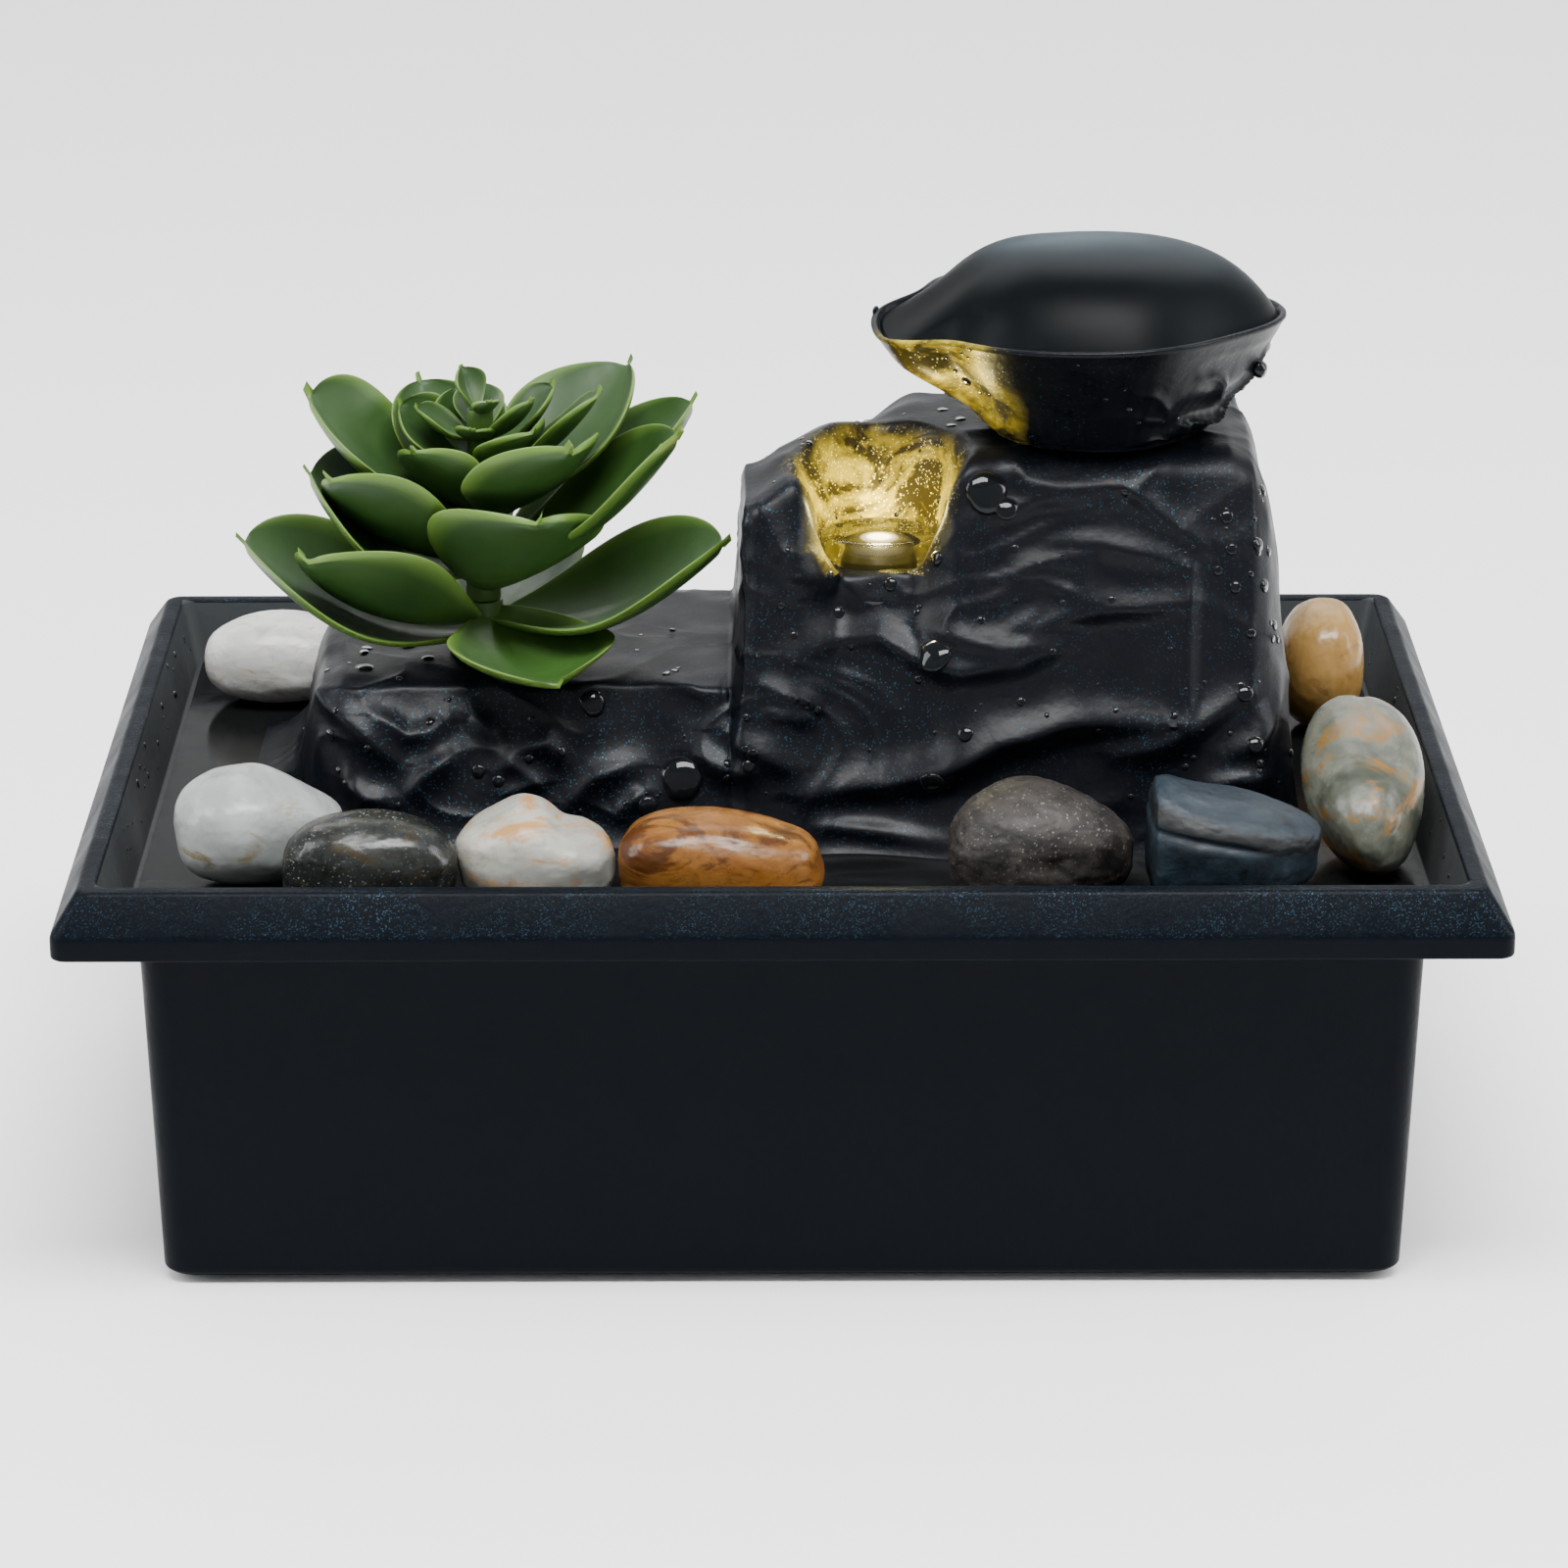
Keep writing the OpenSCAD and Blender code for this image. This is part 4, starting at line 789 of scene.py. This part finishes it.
def build_bowl_water():
    """Water that fills the bowl and wells up over the outlet into a smooth dome."""
    a = np.linspace(0, 360, 240, endpoint=False)
    rings = [bowl_ring(a, 0.6, 0.2, 1.5, 3.2), bowl_ring(a, 0.78, 0.45, 1.5), bowl_ring(a, 0.9, 0.7, 1.4),
             bowl_ring(a, 0.985, 0.92, 1.1)]
    edge = bowl_ring(a, 0.99, 0.955, 0.95)
    rings.append(edge)
    around = np.radians(a)
    reach = 0.97 / np.hypot(np.cos(around) / 29.5, np.sin(around) / 24.3) - 0.9
    calm = np.stack([AXIS.x + reach * np.cos(around), AXIS.y + reach * np.sin(around)], 1)
    centre = np.array([AXIS.x, AXIS.y])
    spout = bell(turn_gap(a, SPOUT), 0, 24)
    for s in list(np.linspace(0.99, 0.9, 8)) + list(np.linspace(0.86, 0.04, 26)):
        rise = CROWN * (1 - s ** 3.7) ** 0.95 * (1 - 0.4 * spout * s ** 4)
        ring = edge.copy()
        keep = s ** 7
        ring[:, :2] = centre + ((edge[:, :2] - centre) * keep + (calm[:, :2] - centre) * (1 - keep)) * s
        level = edge[:, 2] * s ** 2 + (BOWL_Z + BOWL_H * 0.955) * (1 - s ** 2)
        ring[:, 2] = level + rise + 0.18 * np.sin(np.radians(2 * a + 50)) * s * (1 - s) * 4
        rings.append(ring)
    dome = mesh_object("bowl_water", *skin(rings), FLOW)
    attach(dome, "bowl")


def tube(name, x, y, z0, z1, outer, inner, material, sides=64):
    section = fillet([(inner, z0), (outer, z0), (outer, z1), (inner, z1)], [0.15] * 4, 2)
    verts = [(x + r * math.cos(t), y + r * math.sin(t), z) for r, z in section for t in turns(sides)]
    n, rows = sides, len(section)
    faces = [(j * n + i, j * n + (i + 1) % n, (j + 1) % rows * n + (i + 1) % n, (j + 1) % rows * n + i)
             for j in range(rows) for i in range(n)]
    return mesh_object(name, verts, faces, material, sharp=40)


# ---------- artificial plant ----------

# Each ring: its leaves, the bottom and top of its collar on the stem, and the collar's radius.
# Each leaf: turn, length, half width, rise, curl, height on the stem, roll
LEAVES = {
    "leaf_ring_1": ([
        (296, 27, 13.5, -20, .2, 5.8, 0), (184, 38, 14.5, 8, .3, 1.4, -14), (218, 33, 13, 14, .22, 4, 20),
        (350, 39, 14, 6, .28, 3.6, 12), (75, 28, 11, 6, .15, 3, 0)
    ], 0.1, 7.4, 3.0),
    "leaf_ring_2": ([
        (295, 27, 14, 32, .1, 8.6, -8), (184, 30, 14, 18, .3, 11, -20), (216, 30, 11, 22, .2, 13.4, 18),
        (350, 36, 12.5, 20, .26, 13.6, 10), (18, 40, 13, 24, .18, 12.2, 0), (110, 26, 10, 24, .16, 11.6, 0)
    ], 7.6, 17.2, 2.7),
    "leaf_ring_3": ([
        (180, 31, 12.5, 23, .26, 20.4, -12), (36, 34, 13, 31, .1, 19, 0), (312, 25, 12.5, 28, .12, 20.6, 0),
        (222, 17, 8.5, 34, .16, 21, 10), (128, 23, 10, 40, .1, 21.4, 0)
    ], 17.4, 24.4, 2.4),
    "leaf_ring_4": ([
        (168, 16, 7, 32, .16, 26.8, -15), (322, 14, 7.5, 34, .12, 26.4, 0), (352, 23, 6, 32, .12, 25.6, 0),
        (20, 16, 5.5, 38, .1, 28.6, 0), (110, 14, 6, 45, .1, 27.6, 0)
    ], 24.6, 30.6, 2.2),
    "leaf_ring_5": ([
        (185, 11, 4.2, 24, .12, 32, -10), (330, 12, 4, 34, .1, 32, 0), (95, 10, 4, 40, .12, 32.2, 0),
        (262, 7, 3.2, 24, .1, 32.2, 0)
    ], 30.8, 34.2, 2.0),
    "leaf_bud": ([
        (150, 8.5, 3.8, 66, 0, 35.6, 0), (300, 5, 2.4, 50, 0, 35.4, 0)
    ], 34.4, 37.4, 2.0),
}
LEAF_CUP = 0.42
LEAF_ROOT = 1.45
PLANT_Z = PLATEAU_Z + 1


def leaf_half(u):
    return math.sin(math.pi * min(u, 0.985) ** 1.5) ** 0.62 * 0.93 + 0.14 * (1 - u)


def leaf_rings(length, half, curl, seed):
    """Cross-sections of one leaf along +X, with (rim share, distance along) for each point."""
    rings, marks = [], []
    half_columns = 12
    thick = min(1.0, 0.4 + half / 22)
    tip = min(1.5, 0.06 * length)
    stations = [0.5 - 0.5 * math.cos(math.pi * (0.06 + 0.94 * i / 34)) for i in range(35)]
    stations = [u for u in stations if u < 0.99] + [1.0, 1 + tip / length * 0.5, 1 + tip / length]
    columns = [math.sin(math.pi / 2 * (-1 + i / half_columns)) for i in range(2 * half_columns + 1)]
    for u in stations:
        beak = max(0.0, u - 0.985) * length
        width = half * leaf_half(u) if u < 0.985 else max(0.12, 0.55 - 0.2 * beak)
        wave = 0.05 * half * math.sin(7 * u + seed)
        arch = math.sin(math.pi * min(u, 1))
        ring, mark = [], []
        for side in (-1, 1):
            for v in (columns if side < 0 else columns[::-1]):
                round_edge = math.sqrt(max(0.0, 1 - abs(v) ** 6))
                bead = 0.35 * math.exp(-((abs(v) - 0.93) / 0.07) ** 2) * (u > 0.05)
                body = 0.62 * round_edge * min(1, 0.25 + width / 4) + bead * 0.5
                z = (LEAF_CUP * width * v * v + curl * u * u * length - 0.05 * length * arch
                     + wave * v * abs(v) + side * thick * body + 0.35 * beak)
                crease = -0.35 * math.exp(-(v / 0.12) ** 2) * arch * (side > 0)
                ring.append((LEAF_ROOT + (length - LEAF_ROOT) * u, v * width, z + crease))
                mark.append((abs(v) if u < 0.985 else 1.0, u))
        rings.append(ring)
        marks.append(mark)
    return rings, marks


def build_plant():
    for name, (leaves, z0, z1, collar_r) in LEAVES.items():
        verts, faces, marks = [], [], []
        for turn, length, half, rise, curl, height, roll in leaves:
            place = Matrix.Translation((STEM.x, STEM.y, PLANT_Z + height))
            for angle, about in ((turn, "Z"), (-rise, "Y"), (roll, "X")):
                place = place @ Matrix.Rotation(math.radians(angle), 4, about)
            rings, mark = leaf_rings(length, half, curl, turn)
            more, sides = skin([[place @ Vector(p) for p in ring] for ring in rings], first=len(verts))
            verts += more
            faces += sides
            marks += [m for ring in mark for m in ring]
        leaf = mesh_object(f"{name}_skin", verts, faces, LEAF)
        layer = leaf.data.uv_layers.new(name="along")
        for loop in leaf.data.loops:
            layer.data[loop.index].uv = marks[loop.vertex_index]
        shade(leaf.data, 75)
        collar = tube(f"{name}_collar", STEM.x, STEM.y, PLANT_Z + z0, PLANT_Z + z1, collar_r, 1.32, LEAF, 40)
        for piece in (leaf, collar):
            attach(piece, "plant")
        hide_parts(name)


# ---------- pebbles ----------

def stone(node, look, slot, seed, square=2.3, shape=None, tilt=0.0, lump=0.05, rough=0.006):
    """Rounded stone that fills the box of its CAD node; shape bends the unit stone."""
    lo, hi = (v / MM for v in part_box(node))
    form = bmesh.new()
    bmesh.ops.create_icosphere(form, subdivisions=6, radius=1)
    points = np.array([v.co for v in form.verts])
    faces = [tuple(v.index for v in f.verts) for f in form.faces]
    form.free()
    p = 2 / square
    points = np.sign(points) * np.abs(points) ** p
    if shape:
        points = shape(points)
    rng = random.Random(seed)
    shift = Vector([rng.uniform(-9, 9) for _ in range(3)])
    for i, q in enumerate(points):
        q = Vector(q)
        k = 1 + lump * noise.noise(q * 0.9 + shift) * 2 + lump * 0.5 * noise.noise(q * 2.1 + shift)
        k += rough * noise.noise(q * 7 + shift) + rough * 0.6 * noise.noise(q * 19 + shift)
        points[i] = q * k
    if tilt:
        half = (hi - lo) / 2
        turn = np.array(Matrix.Rotation(math.radians(tilt), 3, "X"))
        points = (points * [half.x, half.y, half.z * 0.86]) @ turn.T
    low, high = points.min(0), points.max(0)
    points = np.array(lo) + (points - low) / (high - low) * (np.array(hi) - np.array(lo))
    obj = mesh_object(f"{node}_skin", points, faces, look)
    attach(obj, node)
    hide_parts(node)


def seated(points, power=0.6):
    """Fuller lower half, as a stone settled on its broad side."""
    out = points.copy()
    low = out[:, 2] < 0
    out[low, 2] = -np.abs(out[low, 2]) ** power
    return out


def taper_right(points, top=0.42, side=0.25):
    x = points[:, :1]
    t = ease(-0.2, 1.05, x)
    out = points.copy()
    out[:, 2:] = np.where(out[:, 2:] > 0, out[:, 2:] * (1 - top * t), out[:, 2:])
    out[:, 1:2] = out[:, 1:2] * (1 - side * t)
    return seated(out)


def crowned(points):
    """Dome with its top left of the middle and a long slope to the right."""
    out = points.copy()
    up = np.clip(out[:, 2], 0, 1)
    out[:, 2] += up * (0.03 * bell(out[:, 0], -0.25, 0.5) - 0.12 * ease(0.0, 0.9, out[:, 0]))
    out[:, :2] *= 1 - 0.04 * up[:, None]
    return seated(out, 0.5)


def two_lobes(points):
    out = points.copy()
    x, up = out[:, 0], np.clip(out[:, 2], 0, 1)
    out[:, 2] += (0.26 * bell(x, -0.18, 0.34) - 0.14 * bell(x, 0.30, 0.13) - 0.2 * ease(0.2, 0.5, x)) * up
    return seated(out)


def slab(points):
    out = points.copy()
    x = out[:, 0].copy()
    out[:, 0] = np.where(x < -0.7, -0.7 + (x + 0.7) * 0.2, x)
    up = np.clip(out[:, 2], 0, 1)
    out[:, 2] += up * (0.35 * bell(x, -0.75, 0.3) - 0.34 * ease(-0.6, 0.9, x))
    out[:, 1] *= 1 - 0.25 * ease(0.2, 1.0, out[:, 0])
    out = seated(out, 0.7)
    crack = bell(out[:, 2] - 0.50 + 0.30 * (out[:, 0] + 0.7), 0, 0.07) * (1 - ease(0.0, 0.5, out[:, 0]))
    out[:, 1] *= 1 - 0.07 * crack
    out[:, 0] *= 1 - 0.03 * crack
    return out


def cleft(points):
    out = points.copy()
    y = out[:, 1]
    out[:, 0] *= 1 - 0.2 * (1 - ease(-1.0, 0.1, y))
    out[:, 2] -= 0.06 * np.clip(out[:, 2], 0, 1) * bell(out[:, 0], 0.05, 0.09) * ease(-0.1, 0.7, y)
    return out


# The dark band across the slate: x and z of a point on it, slope, half width
SLATE_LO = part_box("pebble_slate")[0] / MM
SLATE_BAND = (SLATE_LO.x + 1, SLATE_LO.z + 15.2, -0.24, 1.3)

# Each stone: its tones (base, cloud, stain), where the stain starts, seed, slot, and what else sets it apart
PEBBLES = {
    "pebble_white": (
        (0.20, 0.215, 0.21), (0.31, 0.325, 0.315), (0.17, 0.14, 0.08), 0.57, 3, "stone_white",
        dict(scale=42), dict(shape=taper_right)),
    "pebble_black": (
        (0.0022, 0.0026, 0.0028), (0.014, 0.0165, 0.0155), (0.026, 0.017, 0.004), 0.56, 8, "stone_black",
        dict(scale=75, fleck=(0.20, 0.20, 0.185), rough=0.26, turn=(0, 20, 30)),
        dict(square=2.2, shape=seated)),
    "pebble_cream": (
        (0.33, 0.325, 0.28), (0.23, 0.235, 0.215), (0.34, 0.165, 0.040), 0.495, 12, "stone_cream",
        dict(scale=52, turn=(20, 0, 50)), dict(square=2.5, shape=two_lobes)),
    "pebble_amber": (
        (0.125, 0.044, 0.006), (0.195, 0.084, 0.018), (0.045, 0.014, 0.003), 0.51, 21, "stone_amber",
        dict(turn=(0, 0, 12)), dict(square=2.8, shape=lambda p: taper_right(p, 0.26, 0.18))),
    "pebble_brown": (
        (0.009, 0.0075, 0.007), (0.026, 0.022, 0.0195), (0.004, 0.0035, 0.0035), 0.52, 30, "stone_brown",
        dict(scale=100, fleck=(0.15, 0.14, 0.13), rough=0.55, grit=0.6),
        dict(square=2.1, rough=0.014, lump=0.07, shape=crowned)),
    "pebble_slate": (
        (0.0055, 0.0105, 0.016), (0.0115, 0.021, 0.030), (0.002, 0.003, 0.004), 0.55, 41, "stone_slate",
        dict(scale=80, rough=0.5, grit=0.5, turn=(10, 30, 0), band=SLATE_BAND),
        dict(square=2.7, shape=slab, lump=0.045, rough=0.010)),
    "pebble_olive": (
        (0.038, 0.043, 0.031), (0.125, 0.132, 0.108), (0.150, 0.075, 0.012), 0.535, 52, "stone_olive",
        dict(scale=50, turn=(30, 10, 60)), dict(shape=cleft, tilt=15, lump=0.04)),
    "pebble_tan": (
        (0.23, 0.128, 0.034), (0.28, 0.170, 0.055), (0.165, 0.080, 0.018), 0.57, 63, "stone_amber",
        dict(turn=(40, 0, 0)), dict(lump=0.04)),
    "pebble_ivory": (
        (0.34, 0.315, 0.26), (0.43, 0.41, 0.37), (0.24, 0.16, 0.07), 0.57, 74, "stone_cream", {}, {}),
    "pebble_milk": (
        (0.36, 0.36, 0.34), (0.46, 0.455, 0.435), (0.33, 0.18, 0.055), 0.60, 85, "stone_white",
        dict(turn=(0, 35, 20)), dict(square=2.4, lump=0.04)),
    "pebble_rear_grey": (
        (0.06, 0.063, 0.066), (0.13, 0.135, 0.14), (0.025, 0.025, 0.028), 0.54, 96, "stone_slate", {},
        dict(shape=seated)),
    "pebble_rear_rust": (
        (0.14, 0.048, 0.014), (0.21, 0.10, 0.04), (0.05, 0.017, 0.006), 0.53, 107, "stone_amber", {},
        dict(shape=seated)),
    "pebble_rear_green": (
        (0.030, 0.043, 0.032), (0.075, 0.097, 0.075), (0.01, 0.015, 0.011), 0.54, 118, "stone_olive", {},
        dict(shape=seated)),
}


def build_pebbles():
    for node, (base, cloud, stain, stain_from, seed, slot, surface, form) in PEBBLES.items():
        tone = node.split("_")[-1]
        look = pebble_look(f"stone_{tone}", base, cloud, stain, stain_from, **surface)
        stone(node, look, slot, seed, **form)


# ---------- water ----------

def drop_mesh(radius, flat, sag, fine):
    """Rounded drop on a surface: Z leaves the surface, -Y is downhill. Its underside is sunk a little."""
    rows, cols = 8 + 4 * fine, 16 + 8 * fine
    rings = []
    for j in range(rows):
        lat = math.radians(-52 + 140 * j / (rows - 1))
        ring = []
        for i in range(cols):
            t = 2 * math.pi * i / cols
            r = radius * max(0.02, math.cos(lat))
            y = math.sin(t) * r * (1.12 if math.sin(t) < 0 else 0.98)
            lean = -0.5 * sag * radius * max(0, math.sin(lat))
            x = math.cos(t) * r * (1 + 0.06 * math.sin(3 * t))
            ring.append((x, y + lean, radius * flat * math.sin(lat)))
        rings.append(ring)
    return rings


class Drops:
    """Water drops gathered on one body, kept as one mesh."""

    def __init__(self, name, body, target):
        self.name, self.body = name, body
        mesh = target.data
        self.tree = BVHTree.FromPolygons([v.co / MM for v in mesh.vertices],
                                         [tuple(p.vertices) for p in mesh.polygons])
        self.verts, self.faces = [], []

    def put(self, start, heading, radius, flat, sag):
        hit, normal, _, _ = self.tree.ray_cast(Vector(start), Vector(heading).normalized())
        if hit is None:
            return
        if normal.dot(Vector(heading)) > 0:
            normal = -normal
        down = Vector((0, 0, -1)) - normal * -normal.z
        down = down.normalized() if down.length > 0.05 else Vector((1, 0, 0))
        across = down.cross(normal)
        place = Matrix((across, -down, normal)).transposed().to_4x4()
        place.translation = hit + normal * radius * 0.02
        rings = drop_mesh(radius, flat, sag, 1 if radius > 1 else 0)
        more, sides = skin([[place @ Vector(p) for p in ring] for ring in rings], first=len(self.verts))
        self.verts += more
        self.faces += sides

    def done(self):
        obj = mesh_object(self.name, self.verts, self.faces, BEAD)
        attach(obj, self.body)


# The drops that stand out on the front of the rock and of the bowl: x, z, radius
ROCK_DROPS = [
    (30.9, 108.5, 3.9), (23.1, 85.5, 3.2), (22.6, 67.4, 2.3), (23.4, 98.7, 1.4), (71.6, 101, 1.3),
    (66.9, 104.9, 1.2), (72.7, 107.5, 1.1), (72.7, 94.7, 1.2), (68.2, 95, 1.1), (69.6, 80.1, 1.5),
    (71.1, 73.1, 1.5), (8.8, 89.9, 1.1), (27.6, 74.7, 1.4), (16.5, 94.2, 1.2), (-4.3, 71.6, 1.1),
    (-4.2, 107.3, 1.0), (-14.9, 66.8, 3.9), (-8.3, 85, 2.2), (-28.4, 76.8, 2.4), (-68.1, 71.8, 1.2),
    (-45.6, 67.7, 1.3), (-42.6, 66.5, 1.1), (-20.1, 62.6, 1.8), (-4.9, 69.7, 1.2), (-17.9, 82.4, 2.0),
    (74.5, 88, 1.0), (70.5, 88.5, 0.9), (73.5, 99, 0.8), (9, 98, 0.9), (33.8, 106.4, 2.2), (5.6, 76.8, 0.9),
    (36, 79, 0.8), (-33, 70.5, 1.0), (2, 88, 0.7), (20.4, 90.6, 0.7)]
BOWL_DROPS = [(14.5, 126.5, 1.6), (17.5, 123.4, 1.3), (19.6, 121.4, 1.1), (72.4, 124.2, 1.3),
              (73.6, 126.6, 1.1), (22, 119.6, 0.8), (70, 121, 0.9)]


def scatter(drops, count, seed, box_lo, box_hi, small, large, heading):
    """Throws count drops along heading from places within a box, most of them small."""
    rng = random.Random(seed)
    for _ in range(count):
        at = [rng.uniform(a, b) for a, b in zip(box_lo, box_hi)]
        size = 0.85 * (small + (large - small) * rng.random() ** 3)
        drops.put(at, heading, size, rng.uniform(0.32, 0.46), rng.uniform(0.1, 0.4))


def build_drops(basin, rock, bowl):
    on_rock = Drops("drops_on_rock", "rockery", rock)
    for x, z, radius in ROCK_DROPS:
        on_rock.put((x, -90, z), (0, 1, 0), radius * 0.84, flat=0.40, sag=0.35)
    # how many, seed, box they start in, smallest and largest radius, heading
    scatter(on_rock, 60, 5, (-6, -90, 64), (60, -90, 110), 0.25, 0.8, (0, 1, 0))
    scatter(on_rock, 45, 6, (60, -90, 64), (79, -90, 110), 0.3, 1.2, (0, 1, 0))
    scatter(on_rock, 40, 7, (-76, -90, 60), (-6, -90, 78), 0.25, 0.9, (0, 1, 0))
    scatter(on_rock, 30, 8, (-4, -10, 160), (28, 24, 160), 0.3, 1.1, (0, 0, -1))
    scatter(on_rock, 40, 9, (-70, -14, 160), (-10, 26, 160), 0.4, 1.8, (0, 0, -1))
    scatter(on_rock, 40, 10, (-76, 90, 62), (78, 90, 108), 0.3, 1.2, (0, -1, 0))
    on_rock.done()
    on_bowl = Drops("drops_on_bowl", "bowl", bowl)
    for x, z, radius in BOWL_DROPS:
        on_bowl.put((x, -90, z), (0, 1, 0), radius, flat=0.8, sag=0.5)
    scatter(on_bowl, 26, 11, (14, -90, 117), (80, -90, 131), 0.25, 0.7, (0, 1, 0))
    scatter(on_bowl, 20, 12, (-60, -20, 118), (-60, 26, 131), 0.3, 1.1, (1, 0, 0))
    on_bowl.done()
    on_basin = Drops("drops_on_basin", "base", basin)
    scatter(on_basin, 26, 13, (-60, -62, 58), (-60, 62, 64.5), 0.3, 0.9, (-1, 0, 0))
    scatter(on_basin, 16, 14, (60, -62, 58), (60, 62, 64.5), 0.3, 0.8, (1, 0, 0))
    on_basin.done()


def build_pool_water():
    """Shallow water that stands over the light, with a rounded edge."""
    top = LED_TOP + 0.9
    rings = []
    for s, z in [(0.3, top - 4), (0.99, top - 4), (1.0, top - 1.2), (0.995, top - 0.7), (0.975, top - 0.35),
                 (0.94, top - 0.14), (0.88, top - 0.03), (0.75, top), (0.5, top), (0.25, top), (0.03, top)]:
        rings.append([(LED.x + 9.0 * s * math.cos(t) * (1 + 0.03 * math.sin(3 * t)),
                       LED.y + 2.0 + 7.7 * s * math.sin(t), z) for t in turns(96)])
    pool = mesh_object("pool_water", *skin(rings), WATER)
    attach(pool, "rockery")


# ---------- the CAD parts that keep their own shape ----------

FINISH = {
    "rubber_black": RUBBER, "deck_plastic": DECK, "steel": STEEL, "pump_plastic": PUMP,
    "silicone": SILICONE, "clear_plastic": CLEAR, "light_lens": LENS, "board_green": BOARD,
    "led_warm": CHIP, "leaf_green": LEAF, "core_steel": CORE, "copper": COPPER, "magnet": MAGNET,
    "ceramic_shaft": CERAMIC, "sponge": SPONGE}


def finish_cad():
    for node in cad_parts.values():
        for i, material in enumerate(node.data.materials):
            slot = material.name.split(".")[0]
            if slot in FINISH:
                node.data.materials[i] = OUTLET if node.name == "bowl_outlet" else FINISH[slot]


# ---------- floor, lights and camera ----------

FLOOR_TONE = (0.86, 0.86, 0.86)


def build_stage():
    look = Shader("floor", FLOOR_TONE, 0.9, Specular_IOR_Level=0.1)
    look.set("Base Color", look.mix(look.noise(3, 2), FLOOR_TONE, (0.88, 0.88, 0.88)))
    profile = [(0.001, 0), (1500, 0), (2200, 0), (2600, 40), (2900, 200), (3050, 500), (3100, 1000),
               (3100, 3200)]
    rings = [[(r * math.cos(t), r * math.sin(t), z - 0.02) for t in turns(96)] for r, z in profile]
    floor = mesh_object("studio_floor", *skin(rings, close_ends=False), look.mat)
    floor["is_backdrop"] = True


def area(name, place, aim, size, power):
    light = bpy.data.lights.new(name, "AREA")
    light.shape = "RECTANGLE"
    light.size, light.size_y = size
    light.energy = power
    obj = bpy.data.objects.new(name, light)
    obj.location = place
    obj.rotation_euler = (Vector(aim) - Vector(place)).to_track_quat("-Z", "Y").to_euler()
    bpy.context.scene.collection.objects.link(obj)


# Soft boxes: name, place and aim in metres, size in metres, power in watts
BOXES = [
    ("top_box", (0.05, -0.45, 1.25), (0, 0, 0), (0.9, 0.4), 40),
    ("back_box", (0, 1.5, 1.5), (0, 1.2, 0), (2.4, 1.2), 34),
    ("left_box", (-0.95, -0.15, 0.62), (0, 0, 0.08), (0.3, 0.8), 9),
    ("right_box", (0.95, -0.10, 0.62), (0, 0, 0.08), (0.3, 0.8), 9),
]
POOL_GLOW_POWER = 0.034


def build_lights():
    for box in BOXES:
        area(*box)
    glow_light = bpy.data.lights.new("pool_glow", "POINT")
    glow_light.energy = POOL_GLOW_POWER
    glow_light.color = (1.0, 0.86, 0.36)
    glow_light.shadow_soft_size = 0.0025
    lamp = bpy.data.objects.new("pool_glow", glow_light)
    lamp.location = (LED.x * MM, (LED.y + 0.5) * MM, (LED_TOP + 6.5) * MM)
    bpy.context.scene.collection.objects.link(lamp)
    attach(lamp, "rockery")
    world = bpy.data.worlds.new("studio")
    world.use_nodes = True
    back = world.node_tree.nodes["Background"]
    back.inputs["Color"].default_value = (0.80, 0.82, 0.85, 1)
    back.inputs["Strength"].default_value = 0.6
    bpy.context.scene.world = world


# The camera of the photo, in metres, degrees and millimetres
CAMERA_PLACE = (-0.00433, -0.8120, 0.3526)
CAMERA_TURN = (70.02, 0, -0.346)
CAMERA_LENS = 127.79


def build_camera():
    camera = bpy.data.cameras.new("photo_view")
    camera.lens = CAMERA_LENS
    camera.sensor_width = 36
    camera.clip_start = 0.01
    camera.clip_end = 20
    obj = bpy.data.objects.new("photo_view", camera)
    obj.location = CAMERA_PLACE
    obj.rotation_euler = [math.radians(a) for a in CAMERA_TURN]
    bpy.context.scene.collection.objects.link(obj)
    bpy.context.scene.camera = obj


finish_cad()
basin_piece = build_basin()
rock_piece = build_rock()
bowl_piece = build_bowl()
build_bowl_water()
build_pool_water()
build_plant()
build_pebbles()
build_drops(basin_piece, rock_piece, bowl_piece)
build_stage()
build_lights()
build_camera()

bpy.context.view_layer.update()
done_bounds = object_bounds()


def plain(value):
    if isinstance(value, dict):
        return {key: plain(item) for key, item in value.items()}
    if hasattr(value, "__len__") and not isinstance(value, str):
        return [plain(item) for item in value]
    return value


{"cad": plain(cad_bounds), "visual": plain(done_bounds)}
